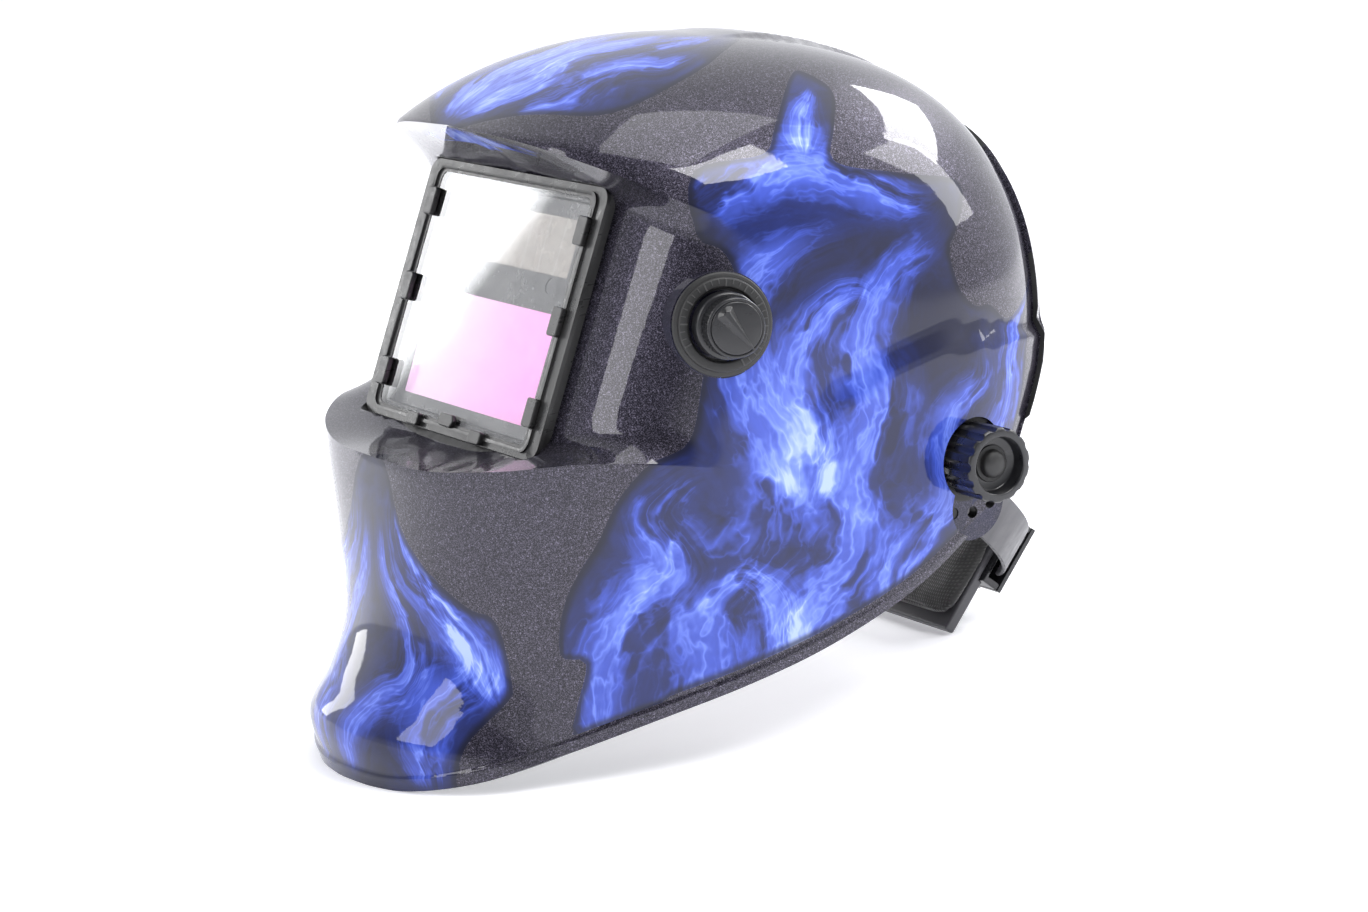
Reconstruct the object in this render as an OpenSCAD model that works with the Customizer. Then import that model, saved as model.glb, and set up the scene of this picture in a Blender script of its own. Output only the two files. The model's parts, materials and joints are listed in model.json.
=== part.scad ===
/* [Helmet shell] */
// Half width of the shell at its widest
shell_half_w = 115; // [110:1:120]
// Height of the crown above the lens centre
crown_h = 123.5; // [118:0.5:128]
// How far the brow stands in front of the shell's own axis
brow_reach = 142; // [138:1:146]
// How far the back of the dome stands behind the shell's own axis
rear_reach = 111.5; // [108:0.5:114]
// Wall thickness of the moulded shell
shell_wall = 2.6; // [2:0.1:3]
// Columns of the shell surface on each side
shell_cols = 36; // [24:6:42]

/* [Resting pose] */
// Height of the lens centre above the ground
lens_h = 167.12; // [150:0.01:185]
// How far the whole helmet leans back as it stands
rest_tilt = 20; // [15:1:25]
// How far the lens face leans back in the helmet's own frame
lens_lean = 4.7; // [3:0.1:7]
// Distance the lens centre stands in front of the origin
rest_shift = 73.5; // [40:0.1:90]

/* [Lens unit] */
// Width of the lens bezel
bezel_w = 137.5; // [134:0.5:140]
// Height of the lens bezel
bezel_h = 103.3; // [101:0.1:106]
// Width of the filter cartridge
cartridge_w = 110; // [109:0.5:111]
// Height of the filter cartridge
cartridge_h = 90; // [89:0.5:91]
// Thickness of the filter cartridge
cartridge_t = 9; // [8:0.5:10]
// Width of the clear view through the filter
view_w = 98.4; // [96:0.1:100]
// Height of the clear view through the filter
view_h = 42.6; // [40:0.1:44]

/* [Shade dial] */
// Outer diameter of the fixed scale ring
dial_ring_d = 38; // [34:1:40]
// Diameter of the shade knob
shade_knob_d = 23; // [20:1:26]

/* [Headgear] */
// Half width of the headband
band_half_w = 76; // [72:1:80]
// Height of the headband
band_h = 22; // [18:1:24]
// Thickness of the headband
band_t = 1.8; // [1.5:0.1:2.2]
// Diameter of the tension knobs
tension_knob_d = 28.5; // [26:0.5:30]
// Diameter of the ratchet knob
ratchet_knob_d = 34; // [30:1:36]
// Height of the rear strap
strap_h = 20; // [14:1:22]

/* [Hidden] */
$fn = 48;

// Fits and small gaps
gap = 0.3;
running_fit = 0.05;
overcut = 1;

// ---------- Shell surface ----------
shell_axis_y = 110;
rows_crown = 8;
rows_brow = 3;
rows_face = 5;
rows_shelf = 3;
rows_chin = 9;
ledge = 13;
recess_half_w = 114;
recess_reach = 110;
recess_slope = 0.082;
recess_power = 3.9;

low_width = [[-185, 90], [-166, 96], [-150, 100], [-128, 106], [-100, 111], [-64, 114.5], [-30, 115.5], [0, 115]];
low_front = [[-185, 129], [-166, 139], [-150, 133], [-128, 128.5], [-100, 135.5], [-64, 144], [-30, 146], [0, 146]];
low_power = [[-185, 2.1], [-150, 2.1], [-100, 2.3], [-64, 2.7], [-30, 3.3], [0, 3.5]];
brow_line = [[0, 63], [20, 61.3], [35, 57], [48, 51], [65, 45]];
shelf_line = [[0, -64], [15, -63], [29, -56], [42, -46], [56, -40], [75, -38]];
side_line = [[70, -14], [78, -4], [96, 21], [112, 30], [127, 35], [150, 38]];
rim_turn = [[0, 0], [90, 90], [105, 104], [122, 119], [130, 124.5], [140, 128], [150, 130], [160, 138], [170, 157], [180, 180]];
rim_height = [[0, -184.8], [15, -182.2], [30, -171], [45, -152], [60, -133], [75, -115], [90, -96], [105, -73],
    [115, -52], [122, -35], [130, -12], [140, 30], [150, 70], [160, 97], [170, 109], [180, 112]];

function bound(t) = min(max(t, 0), 1);
function ease(t) = let (c = bound(t)) c * c * (3 - 2 * c);
function mix(a, b, t) = a + (b - a) * t;
function slope(p, i) = let (a = p[max(i - 1, 0)], b = p[min(i + 1, len(p) - 1)]) (b[1] - a[1]) / (b[0] - a[0]);
function span(p, x, i = 0) = (i >= len(p) - 2 || x < p[i + 1][0]) ? i : span(p, x, i + 1);
function curve(p, x) =
    let (
        c = min(max(x, p[0][0]), p[len(p) - 1][0]),
        i = span(p, c),
        h = p[i + 1][0] - p[i][0],
        t = (c - p[i][0]) / h
    )
    (2 * t * t * t - 3 * t * t + 1) * p[i][1] + (t * t * t - 2 * t * t + t) * h * slope(p, i)
    + (3 * t * t - 2 * t * t * t) * p[i + 1][1] + (t * t * t - t * t) * h * slope(p, i + 1);
function oval(turn, half_w, reach, power) =
    pow(pow(abs(sin(turn)) / half_w, power) + pow(abs(cos(turn)) / reach, power), -1 / power);

function dome(z, power) = pow(1 - pow(min(z / crown_h, 0.99999), power), 1 / power);
function half_width(z) = z >= 0 ? shell_half_w * dome(z, 2.9) : curve(low_width, z);
function front_reach(z) =
    z >= 63 ? (brow_reach + 23) * dome(z, 2) : (z >= 0 ? brow_reach + 4 * (1 - z / 63) : curve(low_front, z));
function back_reach(z) = z >= 0 ? rear_reach * dome(z, 2.3) : rear_reach;
function front_power(z) = z >= 63 ? 2.7 - 0.6 * (z - 63) / 60.5 : (z >= 0 ? 3.5 - 0.8 * z / 63 : curve(low_power, z));
function back_power(z) = 2.6 - 0.45 * bound((z - 20) / 70);

function drop(t) = 1 - pow(1 - bound(t), 2);
function recess_depth(turn, z) =
    drop((curve(brow_line, turn) - z) / ledge) * drop((z - curve(shelf_line, turn)) / ledge)
    * (1 - ease((turn - 44) / 26));
function side_step(turn, z) =
    2.4 * ease((turn - 72) / 12) * ease((curve(side_line, turn) - z) / 5) * ease((z + 90) / 60);
function shell_radius(turn, z) =
    let (
        outer = turn < 90 ? oval(turn, half_width(z), front_reach(z), front_power(z))
            : oval(turn, half_width(z), back_reach(z), back_power(z)),
        face = oval(turn, recess_half_w, recess_reach - recess_slope * z, recess_power)
    )
    outer + side_step(turn, z) + (min(outer, face) - outer) * recess_depth(turn, z);

row_count = rows_crown + rows_brow + rows_face + rows_shelf + rows_chin;
function row_split(r) =
    r <= rows_crown ? [0, 1 - cos(90 * r / rows_crown)]
    : r <= rows_crown + rows_brow ? [1, (r - rows_crown) / rows_brow]
    : r <= rows_crown + rows_brow + rows_face ? [2, (r - rows_crown - rows_brow) / rows_face]
    : r <= rows_crown + rows_brow + rows_face + rows_shelf
        ? [3, (r - rows_crown - rows_brow - rows_face) / rows_shelf]
    : [4, (r - rows_crown - rows_brow - rows_face - rows_shelf) / rows_chin];
even_split = [0, 0.196, 0.238, 0.565, 0.608, 1];
function key_height(turn, k) =
    let (
        rim = curve(rim_height, turn),
        brow = curve(brow_line, turn),
        shelf = curve(shelf_line, turn),
        feature = [crown_h, brow, brow - ledge, shelf + ledge, shelf, rim][k],
        even = mix(crown_h, rim, even_split[k])
    )
    mix(feature, even, ease((turn - 48) / 57));
function row_height(turn, r) =
    let (s = row_split(r)) mix(key_height(turn, s[0]), key_height(turn, s[0] + 1), s[1]);
function shell_point(turn, r) =
    let (
        t = abs(turn),
        z = row_height(t, r),
        fall = (crown_h - z) / (crown_h - curve(rim_height, t)),
        bent = t + (curve(rim_turn, t) - t) * fall * fall,
        radius = r == 0 ? 0 : shell_radius(bent, z)
    )
    [sign(turn) * radius * sin(bent), shell_axis_y - radius * cos(bent), z];

col_count = 2 * shell_cols;
outer_grid = [for (r = [0:row_count]) [for (c = [0:col_count - 1]) shell_point(-180 + 360 * c / col_count, r)]];
function grid_normal(r, c) =
    let (
        across = outer_grid[r][(c + 1) % col_count] - outer_grid[r][(c + col_count - 1) % col_count],
        down = outer_grid[min(r + 1, row_count)][c] - outer_grid[r - 1][c],
        n = cross(down, across)
    )
    n / norm(n);
inner_grid = [for (r = [1:row_count]) [for (c = [0:col_count - 1]) outer_grid[r][c] - shell_wall * grid_normal(r, c)]];

function outer_id(r, c) = 1 + (r - 1) * col_count + c % col_count;
inner_start = 1 + row_count * col_count;
function inner_id(r, c) = inner_start + 1 + (r - 1) * col_count + c % col_count;
shell_points = concat(
    [[0, shell_axis_y, crown_h]],
    [for (r = [1:row_count]) for (c = [0:col_count - 1]) outer_grid[r][c]],
    [[0, shell_axis_y, crown_h - shell_wall]],
    [for (row = inner_grid) for (p = row) p]
);
shell_faces = concat(
    [for (c = [0:col_count - 1]) [0, outer_id(1, c + 1), outer_id(1, c)]],
    [for (r = [1:row_count - 1]) for (c = [0:col_count - 1])
        [outer_id(r, c), outer_id(r, c + 1), outer_id(r + 1, c + 1)]],
    [for (r = [1:row_count - 1]) for (c = [0:col_count - 1])
        [outer_id(r, c), outer_id(r + 1, c + 1), outer_id(r + 1, c)]],
    [for (c = [0:col_count - 1]) [inner_start, inner_id(1, c), inner_id(1, c + 1)]],
    [for (r = [1:row_count - 1]) for (c = [0:col_count - 1])
        [inner_id(r, c), inner_id(r + 1, c + 1), inner_id(r, c + 1)]],
    [for (r = [1:row_count - 1]) for (c = [0:col_count - 1])
        [inner_id(r, c), inner_id(r + 1, c), inner_id(r + 1, c + 1)]],
    [for (c = [0:col_count - 1]) [outer_id(row_count, c), outer_id(row_count, c + 1), inner_id(row_count, c + 1)]],
    [for (c = [0:col_count - 1]) [outer_id(row_count, c), inner_id(row_count, c + 1), inner_id(row_count, c)]]
);

// ---------- Lens unit, measured inwards from the bezel's front plane ----------
bezel_lip = 1.6;
bezel_room = 14;
bezel_depth = 12;
bezel_body_w = bezel_w - 3.5;
bezel_body_h = bezel_h - 3.3;
bezel_open_w = 116;
bezel_open_h = 94;
cover_t = 1.2;
cover_y = -1.4;
cartridge_y = 3;
view_drop = 18.8;
solar_size = [96, 22];
solar_rise = 27.6;
sensor_at = [37.6, 12.5];
sensor_d = 6;
case_wall = 1.5;
board_t = 1.2;
cell_d = 16;
cell_t = 2;
inner_lens_y = cartridge_y + cartridge_t;
clip_rise = 34.5;
dial_at = [38, -34];
small_dial_d = 14;

// ---------- Pivot and tension knobs ----------
pivot_y = 155;
pivot_z = -19;
pin_reach = 22;
pin_turn = 23;
boss_in = 103.5;
boss_out = 109.5;
boss_r = 17;
bolt_r = 4;
pin_boss_r = 15;
pin_boss_in = 104;
pin_boss_out = 109;
pin_r = 2.3;
arm_in = 92;
arm_out = 95;
plate_in = 95;
plate_out = 97.6;
adjuster_in = 98;
knob_in = boss_out + gap;
knob_out = 131;
knob_recess = 6;
flutes = 14;

// ---------- Shade dial ----------
dial_y = 35;
dial_z = 12;
dial_toe = 14;
dial_seat_x = 109.5;
dial_boss_t = 10;
ring_t = 3.2;
bush_r = 4.7;
pointer_turn = 52;

// ---------- Headgear, measured from the pivot axis ----------
front_arc_y = -22;
rear_arc_y = 31;
housing_w = 64;
housing_y = 94;
housing_t = 11;
housing_h = 30;
housing_z = -3;
slot_half_h = 12;
ratchet_knob_t = 7.5;
pinion_pitch_r = 5;
pinion_teeth = 10;
// One tooth of the pinion: angle from its middle, and radius
pinion_tooth = [[-10.5, 4.1], [-6.3, 5.03], [-2.5, 5.8], [2.5, 5.8], [6.3, 5.03], [10.5, 4.1]];
cradle_y = 91;
cradle_foot_y = 96;
cradle_half_w = 30;
cradle_low = -43;
crown_rise = 92;
crown_y = -34;
crown_w = 18;

// The headgear hangs until the foot of its nape cradle meets the ground
pivot_h = lens_h - pivot_y * sin(rest_tilt) + pivot_z * cos(rest_tilt);
headgear_tilt = asin(pivot_h / norm([cradle_foot_y, cradle_low])) - atan(-cradle_low / cradle_foot_y) - rest_tilt;

// ---------- Placement ----------
module place_helmet() {
    translate([0, -rest_shift, lens_h]) rotate([-rest_tilt, 0, 0]) children();
}
module place_lens() {
    place_helmet() rotate([-lens_lean, 0, 0]) children();
}
module place_dial() {
    place_helmet() translate([dial_seat_x, dial_y, dial_z]) rotate([0, 0, -dial_toe]) rotate([0, 90, 0]) children();
}
module place_pivot() {
    place_helmet() translate([0, pivot_y, pivot_z]) children();
}
module place_headgear() {
    place_pivot() rotate([-headgear_tilt, 0, 0]) children();
}
module on_left() {
    children();
}
module on_right() {
    mirror([1, 0, 0]) children();
}
module rod_x(from, to, r) {
    translate([from, 0, 0]) rotate([0, 90, 0]) cylinder(h = to - from, r = r);
}
module rod_y(from, to, r) {
    translate([0, from, 0]) rotate([-90, 0, 0]) cylinder(h = to - from, r = r);
}
// A plate in the lens plane: width, height, from depth a to depth b, with rounded corners
module plate(w, h, a, b, r = 3) {
    translate([0, b, 0]) rotate([90, 0, 0]) linear_extrude(b - a) rounded(w, h, r);
}
module rounded(w, h, r) {
    square([w - 2 * r, h], center = true);
    square([w, h - 2 * r], center = true);
    for (x = [-1, 1], z = [-1, 1]) translate([x * (w / 2 - r), z * (h / 2 - r)]) circle(r);
}

// ---------- Shell ----------
module pin_spots() {
    for (k = [0:2]) rotate([k * pin_turn, 0, 0]) translate([0, 0, -pin_reach]) children();
}
module pivot_boss() {
    rod_x(boss_in, boss_out, boss_r);
    rotate([pin_turn, 0, 0]) translate([0, 0, -boss_r - 0.7]) rod_x(pin_boss_in, pin_boss_out, pin_boss_r);
}
module pivot_cuts() {
    rod_x(boss_out, boss_out + 12, boss_r - 1);
    rotate([pin_turn, 0, 0]) translate([0, 0, -boss_r - 0.7]) rod_x(pin_boss_out, boss_out + 12, pin_boss_r - 2);
    rod_x(boss_in - 12, boss_out + 12, bolt_r + running_fit);
    pin_spots() rod_x(boss_in - 12, boss_out + 12, pin_r);
}
module shell() {
    color("#34343c") difference() {
        union() {
            place_helmet() polyhedron(points = shell_points, faces = shell_faces, convexity = 8);
            place_pivot() on_left() pivot_boss();
            place_pivot() on_right() pivot_boss();
            place_dial() translate([0, 0, -dial_boss_t]) cylinder(h = dial_boss_t, r = dial_ring_d / 2 + 0.5);
        }
        place_lens() translate([-bezel_body_w / 2, -1, -bezel_body_h / 2]) cube([bezel_body_w, 40, bezel_body_h]);
        place_lens() translate([-bezel_w / 2 - gap, -bezel_room, -bezel_h / 2 - gap])
            cube([bezel_w + 2 * gap, bezel_room, bezel_h + 2 * gap]);
        place_pivot() on_left() pivot_cuts();
        place_pivot() on_right() pivot_cuts();
        place_dial() cylinder(h = 12, r = dial_ring_d / 2 + 0.5);
        place_dial() translate([0, 0, -dial_boss_t - 4]) cylinder(h = 24, r = bush_r);
    }
}

// ---------- Lens unit ----------
module screw_spots() {
    for (x = [-1, 1], z = [-1, 1]) translate([x * 61, 0, z * 44]) children();
}
module lens_bezel() {
    color("#18181b") place_lens() difference() {
        union() {
            plate(bezel_w, bezel_h, -bezel_lip, 0, 6);
            plate(bezel_body_w, bezel_body_h, 0, bezel_depth, 0.5);
            difference() {
                plate(bezel_open_w + 9, bezel_open_h + 5, -bezel_lip - 0.8, -bezel_lip, 5);
                plate(bezel_open_w + 5.4, bezel_open_h + 2.2, -bezel_lip - 1.8, -bezel_lip + 1, 4);
            }
        }
        plate(bezel_open_w, bezel_open_h, -bezel_lip - overcut, cover_y + cover_t, 4);
        screw_spots() rod_y(bezel_depth - 8, bezel_depth + 1, 1.6);
        plate(cartridge_w + 1, cartridge_h + 1, -bezel_lip, bezel_depth + overcut, 2);
        clips(2 * gap, 0);
    }
}
// The snap tabs that hold the cover lens: three on each side and two below
module clips(room, lift) {
    for (x = [-1, 1], z = [-1, 0, 1]) translate([x * 59, -lift, z * clip_rise])
        plate(7 + room, 11 + room, -bezel_lip - 2.2, -bezel_lip, 1.2);
    for (x = [-1, 1]) translate([x * 25, -lift, -bezel_h / 2 + 2.6])
        plate(9 + room, 5 + room, -bezel_lip - 2.2, -bezel_lip, 1.2);
}
module lens_clips() {
    color("#202024") place_lens() clips(0, 0.02);
}
module cover_lens() {
    color([0.8, 0.86, 0.9, 0.4]) place_lens() 
        plate(bezel_open_w, bezel_open_h, cover_y, cover_y + cover_t, 4);
}
module cartridge_front() {
    color("#1d1d20") place_lens() difference() {
        plate(cartridge_w, cartridge_h, cartridge_y, cartridge_y + cartridge_t - case_wall, 2);
        plate(cartridge_w - 3, cartridge_h - 3, cartridge_y + case_wall, cartridge_y + cartridge_t, 1);
        translate([0, 0, -view_drop]) plate(view_w, view_h, 0, cartridge_y + 4, 1);
        translate([0, 0, solar_rise]) plate(solar_size[0], solar_size[1], 0, cartridge_y + 4, 0.5);
        for (x = [-1, 1]) translate([x * sensor_at[0], 0, sensor_at[1]]) rod_y(0, cartridge_y + 4, sensor_d / 2);
    }
}
module cartridge_back() {
    color("#1d1d20") place_lens() difference() {
        plate(cartridge_w, cartridge_h, inner_lens_y - case_wall, inner_lens_y, 2);
        translate([0, 0, -view_drop]) plate(view_w, view_h, inner_lens_y - 3, inner_lens_y + 1, 1);
        for (x = [-1, 1]) translate([x * dial_at[0], 0, -dial_at[1]]) rod_y(0, inner_lens_y + 1, 3 + running_fit);
    }
}
module filter_glass() {
    color([0.95, 0.6, 0.85, 0.7]) place_lens() translate([0, 0, -view_drop])
        plate(view_w, view_h, cartridge_y + 0.4, inner_lens_y - 0.2, 1);
}
module solar_cell() {
    color("#6b6460") place_lens() translate([0, 0, solar_rise])
        plate(solar_size[0], solar_size[1], cartridge_y + 0.3, cartridge_y + case_wall, 0.5);
}
module arc_sensors() {
    color("#0c0c10") place_lens() for (x = [-1, 1])
        translate([x * sensor_at[0], 0, sensor_at[1]]) rod_y(cartridge_y + 0.3, cartridge_y + 4, sensor_d / 2 - 0.1);
}
module circuit_board() {
    color("#1c6b3a") place_lens() translate([0, 0, 26]) plate(104, 30, cartridge_y + 4, cartridge_y + 4 + board_t, 1);
}
module coin_cells() {
    color("#b8bcc2") place_lens() for (x = [-12, 12])
        translate([x, 0, 27]) rod_y(cartridge_y + 4 + board_t, cartridge_y + 4 + board_t + cell_t, cell_d / 2);
}
module inner_cover_lens() {
    color([0.8, 0.86, 0.9, 0.4]) place_lens() translate([0, 0, -view_drop])
        plate(view_w + 7, view_h + 8, inner_lens_y, inner_lens_y + 1, 1);
}
module cartridge_holder() {
    color("#26262b") place_lens() difference() {
        plate(bezel_body_w, bezel_body_h, bezel_depth, bezel_depth + 4, 3);
        plate(cartridge_w - 6, cartridge_h - 6, bezel_depth - 1, bezel_depth + 5, 2);
        plate(cartridge_w + 1, cartridge_h + 1, bezel_depth - 1, bezel_depth + 1.5, 2);
        screw_spots() rod_y(bezel_depth - 1, bezel_depth + 5, 1.6);
    }
}
module holder_screws() {
    color("#c8c9cc") place_lens() screw_spots() {
        rod_y(bezel_depth - 7, bezel_depth + 4, 1.55);
        difference() {
            rod_y(bezel_depth + 4, bezel_depth + 6, 3);
            translate([-0.4, bezel_depth + 5.2, -2]) cube([0.8, 2, 4]);
            translate([-2, bezel_depth + 5.2, -0.4]) cube([4, 2, 0.8]);
        }
    }
}
module small_dial(side) {
    place_lens() translate([side * dial_at[0], 0, -dial_at[1]]) {
        rod_y(cartridge_y + 5.6, inner_lens_y + 0.3, 3);
        difference() {
            rod_y(inner_lens_y + 0.3, inner_lens_y + 3.3, small_dial_d / 2);
            translate([-0.6, inner_lens_y + 2.5, -6]) cube([1.2, 2, 6]);
            for (k = [0:11]) rotate([0, 30 * k, 0]) translate([small_dial_d / 2 + 0.5, 0, 0])
                rod_y(inner_lens_y, inner_lens_y + 4, 1);
        }
    }
}
module sensitivity_dial() {
    color("#2b2b30") small_dial(-1);
}
module delay_dial() {
    color("#2b2b30") small_dial(1);
}

// ---------- Shade dial ----------
module dial_ring() {
    color("#1b1b1f") place_dial() difference() {
        union() {
            cylinder(h = 1.6, r = dial_ring_d / 2);
            cylinder(h = ring_t, r = dial_ring_d / 2 - 2.5);
        }
        translate([0, 0, 1.6]) cylinder(h = 4, r = shade_knob_d / 2 + 1.2);
        translate([0, 0, -1]) cylinder(h = 6, r = bush_r);
        for (k = [0:9]) rotate([0, 0, 130 + 28 * k]) translate([15.2, -0.3, ring_t - 0.4]) cube([2.5, 0.6, 2]);
    }
}
module shade_pot() {
    color("#8d9096") place_dial() difference() {
        union() {
            translate([0, 0, -dial_boss_t - 9.5]) cylinder(h = 9.5, r = 8);
            translate([0, 0, -dial_boss_t]) cylinder(h = dial_boss_t + 5.2, r = bush_r - 0.05);
            translate([-11, -4, -dial_boss_t - 8]) cube([4, 8, 2]);
        }
        translate([0, 0, -dial_boss_t - 5]) cylinder(h = 24, r = 3 + running_fit);
    }
}
module pot_nut() {
    color("#c8c9cc") place_dial() translate([0, 0, 1.6]) difference() {
        cylinder(h = 2, r = 7, $fn = 6);
        translate([0, 0, -1]) cylinder(h = 4, r = bush_r);
    }
}
module shade_knob() {
    color("#151518") place_dial() difference() {
        union() {
            translate([0, 0, 2]) cylinder(h = 7, r = shade_knob_d / 2 + 0.8);
            translate([0, 0, 9]) cylinder(h = 8, r = shade_knob_d / 2 - 0.6);
            translate([0, 0, 17]) cylinder(h = 1, r = shade_knob_d / 2 - 1.6);
            rotate([0, 0, pointer_turn]) translate([0, 0, 16]) linear_extrude(3.4) polygon([
                [shade_knob_d / 2 - 2.4, 0], [-shade_knob_d / 2 + 5, 3.6], [-shade_knob_d / 2 + 5, -3.6]
            ]);
        }
        translate([0, 0, 1]) cylinder(h = 5.5, r = 8);
        translate([0, 0, 1]) cylinder(h = 14, r = 3);
        for (k = [0:29]) rotate([0, 0, 12 * k + 3]) translate([shade_knob_d / 2 - 0.3, 0, 9.6]) cylinder(h = 9, r = 0.8);
    }
}
module shade_shaft() {
    color("#c8c9cc") place_dial() translate([0, 0, -dial_boss_t - 4.5]) cylinder(h = dial_boss_t + 19.5, r = 3);
}
cable_r = 1.5;
cable_sides = 8;
cable_route = [[93, 39.2, 23.1], [91, 38, 30], [84, 34, 38], [72, 30, 42], [58, 28, 38], [48, 26, 30], [46, 21, 25.5], [46, 14.4, 24.6]];
cable_steps = 5;
function route_point(u) =
    let (i = min(floor(u), len(cable_route) - 2), t = u - i,
        p0 = cable_route[max(i - 1, 0)], p1 = cable_route[i], p2 = cable_route[i + 1],
        p3 = cable_route[min(i + 2, len(cable_route) - 1)])
    0.5 * (2 * p1 + (p2 - p0) * t + (2 * p0 - 5 * p1 + 4 * p2 - p3) * t * t + (3 * p1 - p0 - 3 * p2 + p3) * t * t * t);
cable_line = [for (k = [0:cable_steps * (len(cable_route) - 1)]) route_point(k / cable_steps)];
function cable_way(k) =
    let (d = cable_line[min(k + 1, len(cable_line) - 1)] - cable_line[max(k - 1, 0)]) d / norm(d);
function cable_ring(k) =
    let (w = cable_way(k), a = cross(w, [0, 0.3, 1]), side = a / norm(a), lift = cross(side, w))
    [for (s = [0:cable_sides - 1])
        cable_line[k] + cable_r * (cos(360 * s / cable_sides) * side + sin(360 * s / cable_sides) * lift)];
module shade_cable() {
    n = len(cable_line);
    m = cable_sides;
    points = [for (k = [0:n - 1]) for (p = cable_ring(k)) p];
    faces = concat(
        [[for (s = [0:m - 1]) s]],
        [for (k = [0:n - 2]) for (s = [0:m - 1]) [k * m + s, (k + 1) * m + s, (k + 1) * m + (s + 1) % m]],
        [for (k = [0:n - 2]) for (s = [0:m - 1]) [k * m + s, (k + 1) * m + (s + 1) % m, k * m + (s + 1) % m]],
        [[for (s = [0:m - 1]) (n - 1) * m + m - 1 - s]]
    );
    color("#101012") place_helmet() polyhedron(points = points, faces = faces, convexity = 4);
}

// ---------- Pivot hardware ----------
module angle_adjuster() {
    difference() {
        union() {
            rod_x(adjuster_in, boss_in, 12);
            translate([adjuster_in, -4, -pin_reach]) cube([3, 8, pin_reach]);
            translate([0, 0, -pin_reach]) rod_x(adjuster_in, adjuster_in + 3, 4);
            translate([0, 0, -pin_reach]) rod_x(adjuster_in, boss_in + 5, pin_r - 0.05);
        }
        rod_x(adjuster_in - 1, boss_in + 1, bolt_r + running_fit);
    }
}
module angle_adjuster_left() {
    color("#2a2a2e") place_pivot() on_left() angle_adjuster();
}
module angle_adjuster_right() {
    color("#2a2a2e") place_pivot() on_right() angle_adjuster();
}
module tension_knob() {
    difference() {
        union() {
            rod_x(knob_in, knob_in + 3, tension_knob_d / 2 - 1.5);
            rod_x(knob_in + 3, knob_out - 1, tension_knob_d / 2);
            rod_x(knob_out - 1, knob_out, tension_knob_d / 2 - 1);
        }
        rod_x(knob_out - knob_recess, knob_out + 1, tension_knob_d / 2 - 3.6);
        rod_x(knob_in - 1, knob_out, 6);
        for (k = [0:flutes - 1]) rotate([360 / flutes * k, 0, 0]) translate([0, 0, tension_knob_d / 2 + 1.2])
            rod_x(knob_in - 1, knob_out + 1, 2.2);
    }
}
module knob_insert() {
    difference() {
        rod_x(knob_in, knob_out - knob_recess, 6);
        rod_x(knob_in - 1, knob_out, bolt_r + running_fit);
    }
}
module knob_cap() {
    translate([knob_out - knob_recess, 0, 0]) rotate([0, 90, 0]) {
        cylinder(h = 1, r = 7);
        translate([0, 0, 1]) cylinder(h = 2, r = 5.2);
        translate([0, 0, 3]) intersection() {
            translate([0, 0, -6]) sphere(r = 8);
            cylinder(h = 4, r = 5.2);
        }
    }
}
module tension_knob_left() {
    color("#141417") place_pivot() on_left() tension_knob();
}
module tension_knob_right() {
    color("#141417") place_pivot() on_right() tension_knob();
}
module knob_insert_left() {
    color("#b59a5a") place_pivot() on_left() knob_insert();
}
module knob_insert_right() {
    color("#b59a5a") place_pivot() on_right() knob_insert();
}
module knob_cap_left() {
    color("#1a1a1e") place_pivot() on_left() knob_cap();
}
module knob_cap_right() {
    color("#1a1a1e") place_pivot() on_right() knob_cap();
}

// ---------- Headgear ----------
module pivot_bolt() {
    rod_x(arm_in - 3, arm_in, 8);
    rod_x(arm_in, knob_out - knob_recess - 0.5, bolt_r);
}
module pivot_bolt_left() {
    color("#3a3a3e") place_headgear() on_left() pivot_bolt();
}
module pivot_bolt_right() {
    color("#3a3a3e") place_headgear() on_right() pivot_bolt();
}
module pivot_arm() {
    difference() {
        intersection() {
            translate([0, 0, -11]) linear_extrude(22) polygon([
                [band_half_w + band_t, -66], [band_half_w + band_t, -46], [arm_in, -26], [arm_in, 13],
                [arm_out, 13], [arm_out, -27], [band_half_w + band_t + 3, -47.4], [band_half_w + band_t + 3, -66]
            ]);
            union() {
                translate([0, -80, -11]) cube([120, 81, 22]);
                rod_x(0, 120, 12);
            }
        }
        rod_x(arm_in - 1, arm_out + 1, bolt_r);
        for (y = [-61, -51]) translate([0, y, 0]) rod_x(band_half_w, band_half_w + 8, 1.5);
    }
}
module pivot_arm_left() {
    color("#3b3b41") place_headgear() on_left() pivot_arm();
}
module pivot_arm_right() {
    color("#3b3b41") place_headgear() on_right() pivot_arm();
}
module arm_rivets() {
    color("#b4b6ba") place_headgear() for (side = [0, 1], y = [-61, -51]) mirror([side, 0, 0])
        translate([0, y, 0]) {
            rod_x(band_half_w, band_half_w + band_t + 3, 1.5);
            rod_x(band_half_w + band_t + 3, band_half_w + band_t + 4, 3);
        }
}
module stop_plate() {
    difference() {
        union() {
            rod_x(plate_in, plate_out, 11);
            translate([plate_in, 0, -3.5]) cube([plate_out - plate_in, 17, 7]);
        }
        rod_x(plate_in - 1, plate_out + 1, bolt_r);
    }
}
module stop_plate_left() {
    color("#2a2a2e") place_headgear() on_left() stop_plate();
}
module stop_plate_right() {
    color("#2a2a2e") place_headgear() on_right() stop_plate();
}
module band_arc(center_y, front, inner, outer) {
    translate([0, center_y]) intersection() {
        difference() {
            circle(outer, $fn = 96);
            circle(inner, $fn = 96);
        }
        translate([-100, front ? -100 : 0]) square([200, 100]);
    }
}
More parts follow.
